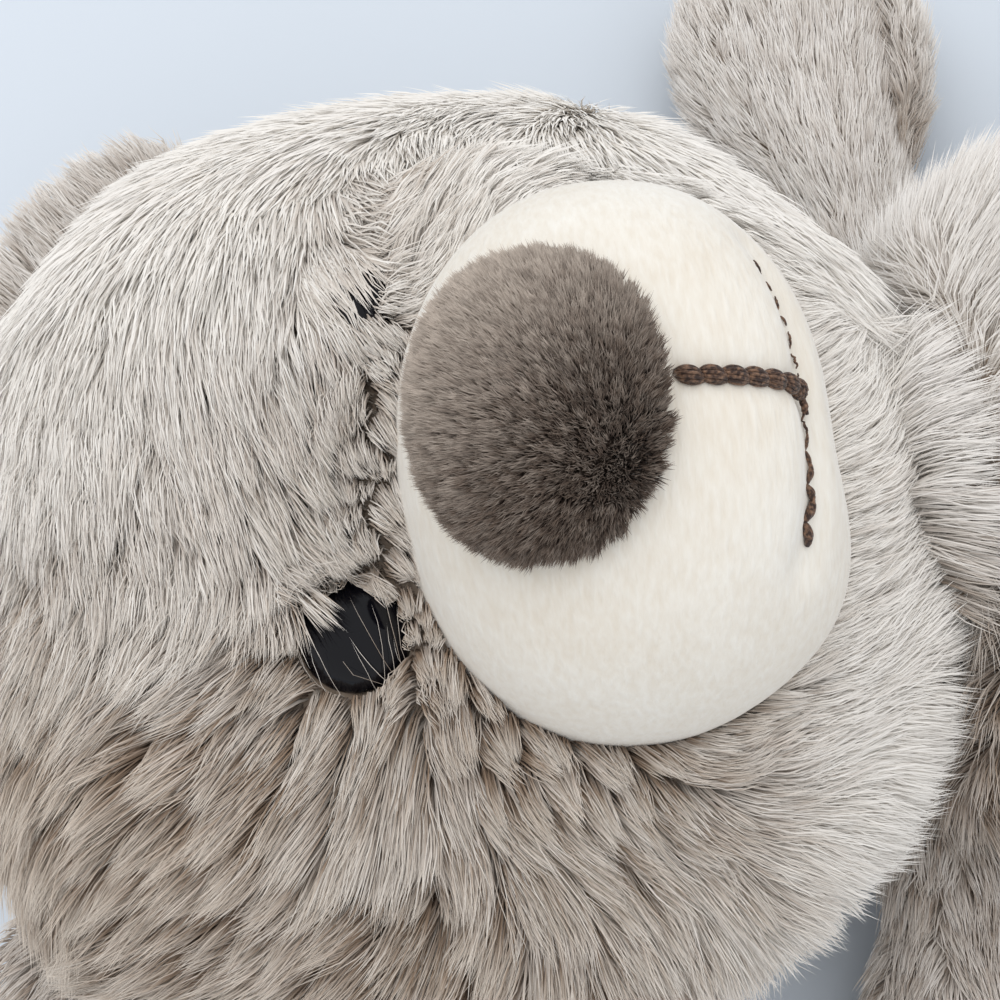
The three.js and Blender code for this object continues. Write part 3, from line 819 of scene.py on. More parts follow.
@dataclass
class Coat:
    """Pile that grows from a skin, as tapering ribbons in tufts."""

    name: str
    body: str
    finish: Finish
    slot: str
    flow: Field
    density: Callable[[Array, Array], Array]
    length: Callable[[Array, Array], Array]
    bare: Callable[[Array], Array] | None = None
    keep_out: Callable[[Array], Array] | None = None
    fine: Callable[[Array, Array], Array] | None = None
    pale: Callable[[Array, Array], Array] | None = None
    press: Callable[[Array], Array] | None = None
    width: float = 0.2
    wide: float = 0.45
    tuft: float = 1.2
    lock: float = 4.6
    gather: float = 0.5
    bunch: float = 0.5
    stand: tuple[float, ...] = (60.0, 32.0, 12.0)
    ruffle: float = 8.0
    stray: float = 13.0
    frizz: float = 0.16
    twist: float = 0.6

    def grow(self, skin: bpy.types.Object) -> list[bpy.types.Object]:
        """Grows the pile.

        Args:
            skin: the mesh that it grows from.

        Returns:
            The pieces of pile.
        """
        random = np.random.default_rng(SEED + sum(map(ord, self.name)))
        roots, normals = self.scatter(skin, random)
        if self.bare is not None:
            covered = ~self.bare(roots)
            roots, normals = roots[covered], normals[covered]
        directions = self.flow(roots, normals)
        guides, tufts = self.groups(roots, self.tuft, random)
        leaders, locks = self.groups(roots[guides], self.lock, random)
        steps = np.linspace(0, 1, len(self.stand) + 1)[None, :, None]
        own = self.paths(roots, normals, directions, random, self.stray)
        led = self.paths(roots[guides], normals[guides], directions[guides], random, self.ruffle)
        led = led * (1 - 0.4 * steps) + led[leaders][locks] * 0.4 * steps
        gather = self.gather * random.uniform(0.5, 1.5, len(guides))[tufts][:, None, None]
        own = own * (1 - gather * steps) + led[tufts] * gather * steps
        evenness = random.uniform(0.85, 1.15, len(guides))[tufts] * random.uniform(0.78, 1.1, len(roots))
        lengths = self.length(roots, normals) * evenness
        shown = 0.35 if self.pale is None else 1 - np.clip(self.pale(roots, normals), 0, 1)[:, None, None]
        to_guide = roots[guides][tufts] - roots
        to_lock = (roots[guides][leaders][locks] - roots[guides])[tufts]
        bunch = self.bunch * (0.28 + shown)
        drawn = gather * steps**1.4 * to_guide[:, None] + bunch * steps**1.5 * to_lock[:, None]
        paths = roots[:, None] + own * lengths[:, None, None] + drawn
        paths += random.normal(0, self.frizz, paths.shape) * steps
        if self.keep_out is not None:
            paths = self.keep_out(paths)
        paths[..., 2] = np.maximum(paths[..., 2], RESTING)
        cells = self.cells(roots, normals, tufts, locks, random)
        widths = self.widths(roots, normals) * random.uniform(0.8, 1.2, len(roots))
        return self.pieces(paths, normals, widths, cells, random)

    def widths(self, roots: Array, normals: Array) -> Array:
        """How wide strands are: fine where they are seen closely."""
        if self.fine is None:
            return np.full(len(roots), self.width)
        return self.wide + (self.width - self.wide) * self.fine(roots, normals)

    def cells(
        self, roots: Array, normals: Array, tufts: Array, locks: Array, random: np.random.Generator
    ) -> Array:
        """Each strand's column and row of the palette, mostly shared by its tuft.

        Args:
            roots: where strands are rooted.
            normals: the skin's outward directions.
            tufts: each strand's tuft.
            locks: each tuft's lock.
            random: the source of chance.

        Returns:
            A column and a row for each strand.
        """
        lock_tones = random.uniform(-0.12, 0.12, locks.max() + 1)[locks]
        tuft_tones = random.uniform(0.3, 0.8, tufts.max() + 1) + lock_tones
        tone = tuft_tones[tufts] + random.uniform(-0.35, 0.3, len(tufts))
        pale = 0.35 if self.pale is None else self.pale(roots, normals)
        pale = pale + random.uniform(-0.2, 0.2, tufts.max() + 1)[tufts] + random.uniform(-0.15, 0.15, len(tufts))
        tone = 0.58 + (tone - 0.58) * (1 - 0.7 * np.clip(pale, 0, 1))
        columns = np.clip(tone * TONES, 0, TONES - 1).astype(int)
        rows = np.clip(pale * ROOTS, 0, ROOTS - 1).astype(int)
        return np.stack([columns, rows], 1)

    def scatter(self, skin: bpy.types.Object, random: np.random.Generator) -> tuple[Array, Array]:
        """Chooses where strands are rooted.

        Args:
            skin: the mesh that they are rooted in.
            random: the source of chance.

        Returns:
            The roots and the skin's outward directions there.
        """
        mesh = skin.data
        mesh.calc_loop_triangles()
        corners = np.empty(len(mesh.loop_triangles) * 3, int)
        mesh.loop_triangles.foreach_get("vertices", corners)
        corners = corners.reshape(-1, 3)
        places = coordinates(skin)
        bends = np.empty(len(mesh.vertices) * 3)
        mesh.vertices.foreach_get("normal", bends)
        bends = bends.reshape(-1, 3)
        a, b, c = (places[corners[:, k]] for k in range(3))
        areas = np.linalg.norm(np.cross(b - a, c - a), axis=1) / 2
        wanted = areas * self.density((a + b + c) / 3, unit(bends[corners].mean(1)))
        edges = np.cumsum(wanted)
        count = int(edges[-1])
        picks = np.searchsorted(edges, random.uniform(0, edges[-1], count))
        u, v = random.uniform(0, 1, (2, count))
        flip = u + v > 1
        u, v = np.where(flip, 1 - u, u)[:, None], np.where(flip, 1 - v, v)[:, None]
        w = 1 - u - v
        n = bends[corners[picks]]
        return a[picks] * w + b[picks] * u + c[picks] * v, unit(n[:, 0] * w + n[:, 1] * u + n[:, 2] * v)

    @staticmethod
    def groups(roots: Array, size: float, random: np.random.Generator) -> tuple[Array, Array]:
        """Gathers strands round leaders a size apart.

        Args:
            roots: where strands are rooted.
            size: how far apart the leaders stand.
            random: the source of chance.

        Returns:
            The leaders' numbers, and for each strand which leader it follows.
        """
        cells = np.floor(roots / size).astype(int)
        order = random.permutation(len(roots))
        _, first = np.unique(cells[order], axis=0, return_index=True)
        leaders = order[first]
        tree = KDTree(len(leaders))
        for number, place in enumerate(roots[leaders]):
            tree.insert(place, number)
        tree.balance()
        follows = np.fromiter((tree.find(place)[1] for place in roots), int, len(roots))
        return leaders, follows

    def paths(
        self, roots: Array, normals: Array, directions: Array, random: np.random.Generator, ruffle: float
    ) -> Array:
        """Where strands of unit length lie, from their roots.

        Args:
            roots: where they are rooted.
            normals: the skin's outward directions.
            directions: which way they lie.
            random: the source of chance.
            ruffle: how far their directions vary, in degrees.

        Returns:
            A place at each joint of each strand.
        """
        sway = np.radians(random.normal(0, ruffle, len(roots)))[:, None]
        across = np.cross(normals, directions)
        lie = directions * np.cos(sway) + across * np.sin(sway)
        ahead = tangent(self.flow(roots + 6.0 * lie, normals), normals)
        curl = random.normal(0, 0.02 * ruffle, len(roots))[:, None]
        turned = unit(lie + 0.6 * ahead + curl * across)
        rise = random.normal(0, ruffle * 0.6, len(roots))
        upright = 1.0 if self.press is None else 1 - self.press(roots)
        places = [np.zeros_like(roots)]
        for number, angle in enumerate(self.stand):
            way = turned if number else lie
            tilt = np.radians(np.clip(angle * upright + rise, -8, 85))[:, None]
            places.append(places[-1] + (way * np.cos(tilt) + normals * np.sin(tilt)) / len(self.stand))
        return np.stack(places, 1)

    def pieces(
        self, paths: Array, normals: Array, widths: Array, cells: Array, random: np.random.Generator
    ) -> list[bpy.types.Object]:
        """Makes the ribbons, in pieces of a size that files can hold."""
        order = np.argsort(paths[:, 0, 0])
        count = max(1, math.ceil(len(order) / PIECE_STRANDS))
        made = []
        for number, part in enumerate(np.array_split(order, count), 1):
            name = self.name if count == 1 else f"{self.name}_{number}"
            obj = ribbons(name, paths[part], normals[part], widths[part], cells[part], self.twist, random)
            made.append(dress(obj, self.finish, self.body))
        return made


def ribbons(
    name: str, paths: Array, normals: Array, widths: Array, cells: Array, twist: float, random: np.random.Generator
) -> bpy.types.Object:
    """Makes one mesh of tapering ribbons, each coloured by its cell of the palette.

    Args:
        name: the piece's name.
        paths: places along each strand.
        normals: the skin's outward direction at each root.
        widths: each strand's width.
        cells: each strand's column and row of the palette.
        twist: how far ribbons turn about their length, in radians.
        random: the source of chance.

    Returns:
        The new object.
    """
    count, rings = len(paths), paths.shape[1] - 1
    size = 2 * rings + 1
    along = unit(np.diff(paths, axis=1))
    soft = cells[:, 1:] / ROOTS
    turn = random.uniform(-twist, twist, count)[:, None] * (1 - 0.6 * soft)
    normals = unit(normals + 1.5 * UP)
    vertices = np.empty((count, size, 3))
    facing = np.empty((count, size, 3))
    share = np.linspace(0, 1, rings + 1)
    for ring in range(rings):
        side = unit(np.cross(along[:, ring], normals))
        lift = np.cross(side, along[:, ring])
        turned = side * np.cos(turn) + lift * np.sin(turn)
        half = turned * (widths * (1 - 0.3 * share[ring]) / 2)[:, None]
        vertices[:, 2 * ring] = paths[:, ring] + half
        vertices[:, 2 * ring + 1] = paths[:, ring] - half
        facing[:, 2 * ring : 2 * ring + 2] = unit((1.6 + 3.0 * soft) * normals + np.cross(turned, along[:, ring]))[:, None]
    vertices[:, -1] = paths[:, -1]
    facing[:, -1] = facing[:, -2]
    vertices[..., 2] = np.maximum(vertices[..., 2], RESTING / 2)
    quads = [(2 * k, 2 * k + 2, 2 * k + 3, 2 * k + 1) for k in range(rings - 1)]
    corners = np.array([*sum(quads, ()), size - 3, size - 1, size - 2])
    loops = (np.arange(count)[:, None] * size + corners).ravel()
    starts = (np.arange(count)[:, None] * len(corners) + 4 * np.arange(rings)).ravel()
    mesh = bpy.data.meshes.new(name)
    mesh.vertices.add(count * size)
    mesh.vertices.foreach_set("co", to_row(vertices.reshape(-1, 3)).astype(np.float32).ravel())
    mesh.loops.add(len(loops))
    mesh.loops.foreach_set("vertex_index", loops.astype(np.int32))
    mesh.polygons.add(len(starts))
    mesh.polygons.foreach_set("loop_start", starts.astype(np.int32))
    mesh.update(calc_edges=True)
    across = np.array([0.25, 0.75] * rings + [0.5])
    length = np.append(np.repeat(share[:-1], 2), 1.0) * 0.92 + 0.03
    cell_places = np.stack([(cells[:, :1] + across) / TONES, (cells[:, 1:] + length) / ROOTS], -1)
    layer = mesh.uv_layers.new(name=BAKE_MAP)
    layer.data.foreach_set("uv", cell_places[:, corners].astype(np.float32).ravel())
    mesh.shade_smooth()
    mesh.normals_split_custom_set_from_vertices(facing.reshape(-1, 3).astype(np.float32))
    obj = bpy.data.objects.new(name, mesh)
    bpy.context.scene.collection.objects.link(obj)
    return obj


@dataclass(frozen=True)
class Swelling:
    """A place where stuffing pushes the plush out, or stitches hold it in."""

    place: tuple[float, float, float]
    radius: float
    amount: float


CHIN = [
    Swelling((41, -21, 85), 10, 1.5),
    Swelling((44.7, -2, 91), 9, -1.5),
    Swelling((43, 10, 92), 9, -0.8),
    Swelling((36, 21, 93), 10, -0.7),
]


FULLER = [
    Swelling((-42, 42, 40), 20, 3.2),
    Swelling((-50, -44, 40), 22, 6.0),
    Swelling((52, -34, 50), 16, 1.5),
]


@dataclass
class Head:
    """The head: its skin, its long hair, and where the hair gives way to muzzle and eyes."""

    pile: float = 7.0  # from the bulk of the pile down to the skin
    seam: float = 3.4  # the same beside the muzzle
    socket: float = 4.6  # the same beside the eyes
    hair: float = 13.0
    seen: float = 8.5  # strands to a square millimetre on the face
    unseen: float = 1.8
    forelock: tuple = (-18.4, -12.2)  # the root of the tuft that falls over the near eye

    def rims(self, points: Array) -> tuple[Array, Array, Array]:
        """How near places are to the muzzle, to the near eye and to the far one: 1 beside them, 0 away."""
        muzzle = 1 - smooth(MUZZLE.level(points), 1.02, 1.3)
        gaps = [np.linalg.norm(points[..., :2] - np.array(EYES[side]), axis=-1) for side in (-1, 1)]
        near, far = (1 - smooth(gap, 6.0, 13.5) for gap in gaps)
        top = points[..., 2] > HEAD.centre[2]
        return muzzle, near * top, far * top

    def fine(self, points: Array, normals: Array) -> Array:
        """Where the hair is seen closely: 1 on the face and less on the far side and behind."""
        return smooth(points[:, 2], 18, 42) * (1 - 0.5 * smooth(points[:, 1], 18, 40))

    def pale(self, points: Array, normals: Array) -> Array:
        """How light the roots are: darker beside the muzzle on the near side and beside the near eye, a painted shade
        at the muzzle's seam and in the eye's socket, besides roots that show where the hair stands up.
        """
        muzzle, near, _ = self.rims(points)
        # Painted shade along the muzzle's seam and round the near eye's socket.
        return head_pale(points) - 0.2 * muzzle * (1 - smooth(points[:, 1], -25, 5)) - 0.1 * near

    def press(self, points: Array) -> Array:
        """How flat the hair is brushed: flatter on the far side, and upright beside the muzzle and the eyes."""
        muzzle, near, far = self.rims(points)
        upright = 0.35 * muzzle + 0.45 * near
        brushed = 0.45 * smooth(points[:, 1], 8, 35) + 0.35 * smooth(points[:, 1], 35, 52)
        return brushed * smooth(points[:, 2], 14, 40) * (1 - muzzle) - upright

    def density(self, points: Array, normals: Array) -> Array:
        """Strands to a square millimetre."""
        amount = self.unseen + (self.seen - self.unseen) * self.fine(points, normals)
        amount = amount * (1 + 0.6 * smooth(points[:, 1], 20, 48)) * (MUZZLE.level(points, -3.0) > 1)
        amount = amount * (1 + 0.5 * self.rims(points)[0])
        for spot in PARTINGS:
            gap = np.linalg.norm(points[:, :2] - np.array([spot.along, spot.aside]), axis=1)
            amount = amount * (1 - 0.25 * np.exp(-((gap / spot.radius) ** 2)) * (points[:, 2] > HEAD.centre[2]))
        return amount * (1 - 0.8 * smooth(-points[:, 2], -6, -2))

    def bare(self, points: Array) -> Array:
        """Where no hair is rooted: inside the muzzle and the body, and under the eyes."""
        bald = (MUZZLE.level(points, -1.8) < 1) | (BODY.level(points, 1.0) < 1)
        for side, radius in ((1, 1.8), (-1, 5.2)):
            gap = np.linalg.norm(points[:, :2] - np.array(EYES[side]), axis=1)
            bald |= (gap < radius) & (points[:, 2] > HEAD.centre[2])
        return bald

    def length(self, points: Array, normals: Array) -> Array:
        """How long the hair is."""
        muzzle, near, far = self.rims(points)
        gap = points[:, :2] - np.array(self.forelock)
        forelock = np.exp(-((gap / 2.2) ** 2).sum(1))
        amount = self.hair * (1 - 0.5 * muzzle) * (1 - 0.58 * near * (1 - forelock)) * (1 - 0.2 * far)
        amount = amount * (1 + 0.22 * smooth(points[:, 0], 42, 62) + 0.12 * smooth(-points[:, 1], 40, 60))
        amount = amount * (1 - 0.3 * smooth(points[:, 1], 30, 55))
        for spot in PARTINGS:
            gap = np.linalg.norm(points[:, :2] - np.array([spot.along, spot.aside]), axis=1)
            amount = amount * (1 - 0.35 * np.exp(-((gap / spot.radius) ** 2)))
        return amount * (1 - 0.6 * smooth(-points[:, 2], -8, -1))

    def keep_out(self, paths: Array) -> Array:
        """Holds the hair off the muzzle and the eyes."""
        for side in SIDES.values():
            paths = eye_form(side).push_out(paths, 0.5)
        return MUZZLE.push_out(paths, -1.1)

    def parted(self, paths: Array) -> Array:
        """Holds the hair off the muzzle and the eyes, and brushes most of it away from the near eye.

        Args:
            paths: places along each strand.

        Returns:
            The places, moved out where they lay in the way.
        """
        paths = self.keep_out(paths)
        reach = np.random.default_rng(SEED).uniform(4.9, 7.3, len(paths))[:, None]
        forelock = np.linalg.norm(paths[:, 0, :2] - np.array(self.forelock), axis=-1) < 1.7
        reach[forelock] = 0.1
        gap = paths[..., :2] - np.array(EYES[-1])
        far = np.linalg.norm(gap, axis=-1)
        inside = (far < reach) & (paths[..., 2] > HEAD.centre[2])
        out = np.where(inside, reach / np.maximum(far, 0.5), 1.0)
        paths[..., :2] = np.array(EYES[-1]) + gap * out[..., None]
        return paths

    def build(self) -> None:
        """Builds the skin and its hair."""
        skin = primitive_ball("head_skin", HEAD, -self.pile, 48, 32)
        firm = Stuffing(voxel=4.0, swell=1.0)
        firm.remesh(skin)
        firm.inflate(skin)
        points = coordinates(skin)
        muzzle, near, far = self.rims(points)
        rise = np.maximum((self.pile - self.seam) * muzzle, (self.pile - self.socket) * np.maximum(near, far))
        rise = np.maximum(rise, 3.4 * np.maximum(self.press(points), 0) / 0.6)
        for spot in FULLER:
            rise += spot.amount * np.exp(-(((points[:, :2] - spot.place[:2]) ** 2).sum(1) / spot.radius**2))
        set_coordinates(skin, points + HEAD.outward(points) * rise[:, None])
        flatten(skin, 1.0)
        dress(skin, Finish.BACKING, "head")
        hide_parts("head_cover", "head_filling")
        Coat(
            name="head_fur",
            body="head",
            finish=Finish.FUR,
            slot="fur",
            flow=head_flow,
            density=self.density,
            length=self.length,
            bare=self.bare,
            keep_out=self.parted,
            fine=self.fine,
            pale=self.pale,
            press=self.press,
            width=0.17,
            lock=5.4,
            bunch=0.64,
            stray=9.5,
            frizz=0.11,
        ).grow(skin)
        Coat(
            name="eye_wisps",
            body="head",
            finish=Finish.FUR,
            slot="fur",
            flow=along_axis((-0.35, 1.0, 0.0), 0.0),
            density=self.wisps,
            length=lambda p, n: np.full(len(p), 8.5),
            keep_out=self.keep_out,
            pale=lambda p, n: np.full(len(p), 0.45),
            width=0.06,
            tuft=2.5,
            gather=0.2,
            stand=(52.0, 28.0, 8.0, -6.0, -16.0),
            frizz=0.05,
            stray=22.0,
            ruffle=16.0,
        ).grow(skin)

    def wisps(self, points: Array, normals: Array) -> Array:
        """Where single hairs stray over the near eye: below it and to its right."""
        gap = points[:, :2] - np.array(EYES[-1])
        far = np.linalg.norm(gap, axis=1)
        beside = (far > 5.6) & (far < 8.0) & (points[:, 2] > HEAD.centre[2])
        return beside * (0.3 * (gap[:, 1] < -2) + 0.04)


def flatten(obj: bpy.types.Object, floor: float) -> None:
    """Presses a skin flat where it would reach below a height."""
    points = coordinates(obj)
    points[:, 2] = np.maximum(points[:, 2], floor)
    set_coordinates(obj, points)


@dataclass
class Muzzle:
    """The cream muzzle, pinched along its stitched mouth, and the stitches."""

    pinch: float = 1.9
    mouth_middle: tuple = (17.3, 0.0, 24.7)
    mouth_corner: tuple = (13.2, 17.1, 20.5)

    def mouth_line(self, count: int, lift: float) -> Array:
        """Places along the mouth, from corner to corner."""
        share = np.linspace(-1, 1, count)[:, None]
        corner, centre = np.array(self.mouth_corner), np.array(self.mouth_middle)
        ways = centre + (corner - centre) * share**2
        ways[:, 1] = corner[1] * share[:, 0]
        return MUZZLE.points(unit(ways), lift)

    def philtrum_line(self, count: int, lift: float) -> Array:
        """Places down the middle of the muzzle, from nose to mouth."""
        angles = np.radians(np.linspace(0.5, 34.5, count))
        ways = np.stack([np.sin(angles), np.zeros(count), np.cos(angles)], 1)
        return MUZZLE.points(ways, lift)

    def dent(self, points: Array) -> Array:
        """How deeply the stitches pull the plush in at places."""
        line = self.mouth_line(41, 0.0)
        gaps = np.linalg.norm(points[:, None] - line[None], axis=-1)
        deep = 1.25 - 0.55 * np.abs(np.linspace(-1, 1, 41))[gaps.argmin(1)]
        philtrum = np.linalg.norm(points[:, None] - self.philtrum_line(21, 0.0)[None], axis=-1).min(1)
        groove = self.pinch * deep * np.exp(-((gaps.min(1) / 2.8) ** 2))
        return groove + 0.5 * self.pinch * np.exp(-((philtrum / 2.2) ** 2))

    def build(self) -> None:
        """Builds the muzzle and its stitches."""
        skin = primitive_ball("muzzle_plush", MUZZLE, -0.9, 72, 48)
        plump = Stuffing(voxel=1.6, swell=1.1, fill=0.95)
        plump.remesh(skin)
        points = coordinates(skin)
        held = smooth(self.dent(points) / self.pinch, 0.3, 0.8)
        held[MUZZLE.level(points) < 0.5] = 1.0
        plump.inflate(skin, held)
        points = coordinates(skin)
        outward = MUZZLE.outward(points)
        moves = -self.dent(points)
        for spot in CHIN:
            gap = np.linalg.norm(points - np.array(spot.place), axis=1)
            moves += spot.amount * np.exp(-((gap / spot.radius) ** 2))
        set_coordinates(skin, points + outward * moves[:, None])
        dress(skin, Finish.CREAM_PLUSH, "head")
        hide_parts("muzzle_cover")
        surface = KDTree(len(points))
        for number, place in enumerate(coordinates(skin)):
            surface.insert(place, number)
        surface.balance()
        self.stitch_mouth(surface)
        self.stitch_philtrum(surface)

    @staticmethod
    def laid(surface: KDTree, places: Array, lift: float) -> Array:
        """Lays places on the plush.

        Args:
            surface: the plush's points.
            places: places near it.
            lift: how high over it they end.

        Returns:
            The places, each over the nearest points of the plush.
        """
        found = [np.mean([hit[0] for hit in surface.find_n(place, 4)], 0) for place in places]
        outward = MUZZLE.outward(places)
        height = ((np.array(found) - places) * outward).sum(-1, keepdims=True)
        return places + outward * (height + lift)

    def stitch_mouth(self, surface: KDTree) -> None:
        """Lays the thin line of the mouth: sunk far stitches, and near ones that thicken to a knot."""
        line = self.laid(surface, self.mouth_line(241, -0.6), 0.0)
        outward = MUZZLE.outward(line)
        stitches = []
        far = [(6, 20), (24, 33), (38, 50), (54, 63), (68, 82), (86, 99), (103, 114)]
        near = [(116, 130), (128, 142), (141, 154), (152, 166), (164, 179), (176, 191), (189, 203), (201, 216), (213, 232)]
        for number, (start, end) in enumerate(reversed([(240 - b, 240 - a) for a, b in far + near])):
            share = np.linspace(0, 1, end - start + 1)[:, None]
            place = (start + end) / 480
            thick = 0.17 + 0.4 * float(smooth(np.array(0.45 - place), 0.05, 0.38)) if place < 0.5 else 0.16
            zigzag = 0.6 * thick / 0.3 * (1 if number % 2 else -1) * (share - 0.5) * np.array([1.0, 0.2, 0.0])
            arch = outward[start : end + 1] * (thick * 0.8 * np.sin(math.pi * share) - 0.1)
            stitches.append((line[start : end + 1] + arch + zigzag, thick))
        mouth = merged("mouth_yarn", [part for path, thick in stitches for part in stitch(path, thick, 4, 0.5)])
        dress(mouth, Finish.YARN, "head")
        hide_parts("mouth_stitches")

    def stitch_philtrum(self, surface: KDTree) -> None:
        """Lays the rope of plump stitches from nose to mouth, each over the end of the one before."""
        line = self.philtrum_line(8, 0.0)
        parts = []
        for start, end in zip(line[:-1], line[1:]):
            share = np.linspace(-0.1, 1.1, 19)[:, None]
            arch = np.sin(math.pi * (share + 0.1) / 1.2)
            slant = np.array([0.0, 0.75, 0.0]) * (share - 0.5)
            path = self.laid(surface, start + (end - start) * share, 0.05) + UP * 0.45 * arch - slant
            parts.extend(stitch(path, 1.06, 12, 0.16))
        tail = np.linspace(0, 1, 15)[:, None]
        hook = line[-1] + tail * np.array([0.35, -2.4, -0.7])
        parts.extend(stitch(self.laid(surface, hook, 0.15), 0.42, 5, 0.4))
        rope = merged("philtrum_yarn", parts)
        dress(rope, Finish.YARN, "head")
        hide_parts("philtrum_stitches")


def stitch(path: Array, radius: float, filaments: int, turn: float) -> list[tuple[Array, list]]:
    """One plump stitch: a bundle of filaments that narrows into the cloth at both ends.

    Args:
        path: places along the stitch.
        radius: its radius at the middle, in millimetres.
        filaments: how many filaments are seen round it.
        turn: how many times they go round over its length.

    Returns:
        The vertices and faces of each filament.
    """
    along = unit(np.gradient(path, axis=0))
    side = unit(np.cross(along, UP + 1e-3))
    lift = np.cross(side, along)
    share = np.linspace(0, 1, len(path))
    swell = np.sin(math.pi * np.clip(share, 0.03, 0.97)) ** 0.6
    thread = radius * min(0.6, 2.6 / filaments)
    parts = []
    for number in range(filaments):
        phase = (2 * math.pi * (number / filaments + turn * share))[:, None]
        ring = (radius - thread) * swell[:, None]
        places = path + (side * np.cos(phase) + lift * np.sin(phase)) * ring
        parts.append(tube(places, thread * (0.45 + 0.55 * swell), 6))
    core = max(radius - 1.6 * thread, 0.3 * radius)
    parts.append(tube(path, core * swell, 8))
    return parts


def tube(places: Array, radii: Array, sides: int) -> tuple[Array, list]:
    """The vertices and faces of a closed tube along places."""
    along = unit(np.gradient(places, axis=0))
    side = unit(np.cross(along, UP + 1e-3))
    lift = np.cross(side, along)
    angles = np.linspace(0, 2 * math.pi, sides, endpoint=False)
    rings = places[:, None] + radii[:, None, None] * (
        side[:, None] * np.cos(angles)[None, :, None] + lift[:, None] * np.sin(angles)[None, :, None]
    )
    faces = []
    for ring in range(len(places) - 1):
        for k in range(sides):
            a, b = ring * sides + k, ring * sides + (k + 1) % sides
            faces.append((a, b, b + sides, a + sides))
    faces.append(tuple(range(sides))[::-1])
    faces.append(tuple(range((len(places) - 1) * sides, len(places) * sides)))
    return rings.reshape(-1, 3), faces


def merged(name: str, parts: list[tuple[Array, list]]) -> bpy.types.Object:
    """Makes one object of several lists of vertices and faces."""
    vertices, faces, start = [], [], 0
    for places, sides in parts:
        vertices.append(places)
        faces.extend(tuple(i + start for i in face) for face in sides)
        start += len(places)
    mesh = bpy.data.meshes.new(name)
    mesh.from_pydata(to_row(np.concatenate(vertices)).tolist(), [], faces)
    obj = bpy.data.objects.new(name, mesh)
    bpy.context.scene.collection.objects.link(obj)
    select_only(obj)
    bpy.ops.object.mode_set(mode="EDIT")
    bpy.ops.mesh.select_all(action="SELECT")
    bpy.ops.mesh.normals_make_consistent(inside=False)
    bpy.ops.object.mode_set(mode="OBJECT")
    bpy.ops.object.shade_smooth()
    return obj


@dataclass
class Nose:
    """The brown nose of short thick pile."""

    pile: float = 2.2
    hair: float = 2.4

    def density(self, points: Array, normals: Array) -> Array:
        """Strands to a square millimetre, none inside the muzzle."""
        return 46.0 * (MUZZLE.level(points, -0.5) > 1)

    def length(self, points: Array, normals: Array) -> Array:
        """How long the pile is."""
        return np.full(len(points), self.hair)

    def build(self) -> None:
        """Builds the nose's skin and its pile."""
        skin = primitive_ball("nose_skin", NOSE, -self.pile, 40, 28)
        dress(skin, Finish.BROWN_BACKING, "head")
        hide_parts("nose_cover", "nose_filling")
        Coat(
            name="nose_pile",
            body="head",
            finish=Finish.NOSE_PILE,
            slot="brown_plush",
            flow=away_from((17, -11, 104), 0.4),
            density=self.density,
            length=self.length,
            # Roots paler towards the far, upper side: partly the pile brushed that way, partly painted light on the
            # side that faces the window.
            pale=lambda p, n: 0.1 + 0.75 * smooth(p[:, 1] - 0.8 * p[:, 0], -22, 12),
            width=0.15,
            tuft=0.75,
            lock=2.2,
            gather=0.25,
            bunch=0.14,
            stand=(82.0, 58.0),
            ruffle=20.0,
            stray=20.0,
            frizz=0.1,
        ).grow(skin)


@dataclass
class Eye:
    """A glossy black dome."""

    side: int
    word: str
    radius: float = EYE_RADIUS
    dome: float = EYE_DOME
    sunk: float = EYE_SUNK

    def build(self) -> None:
        """Builds the dome, square to the face."""
        deselect()
        bpy.ops.mesh.primitive_uv_sphere_add(segments=48, ring_count=32, radius=self.radius * MM)
        dome = bpy.context.object
        dome.name = f"{self.word}_eye_dome"
        bpy.ops.object.mode_set(mode="EDIT")
        bpy.ops.mesh.select_all(action="SELECT")
        bpy.ops.mesh.bisect(plane_co=(0, 0, 0), plane_no=(0, 0, 1), clear_inner=True, use_fill=True)
        bpy.ops.mesh.select_all(action="SELECT")
        bpy.ops.transform.resize(value=(1, 1, self.dome / self.radius), center_override=(0, 0, 0))
        bpy.ops.object.mode_set(mode="OBJECT")
        place = head_top(*EYES[self.side])
        outward = HEAD.outward(place[None])[0]
        turn = UP_VECTOR.rotation_difference(Vector(outward)).to_matrix().to_4x4()
        rim = place - outward * self.sunk
        dome.data.transform(Matrix.Translation(Vector(to_row(rim[None])[0])) @ turn)
        bevel = dome.modifiers.new("rim", "BEVEL")
        bevel.width = 0.35 * MM
        bevel.segments = 3
        bevel.limit_method = "ANGLE"
        bpy.ops.object.modifier_apply(modifier=bevel.name)
        bpy.ops.object.shade_smooth()
        dress(dome, Finish.EYE, "head")
        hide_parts(f"{self.word}_eye")


UP_VECTOR = Vector((0, 0, 1))


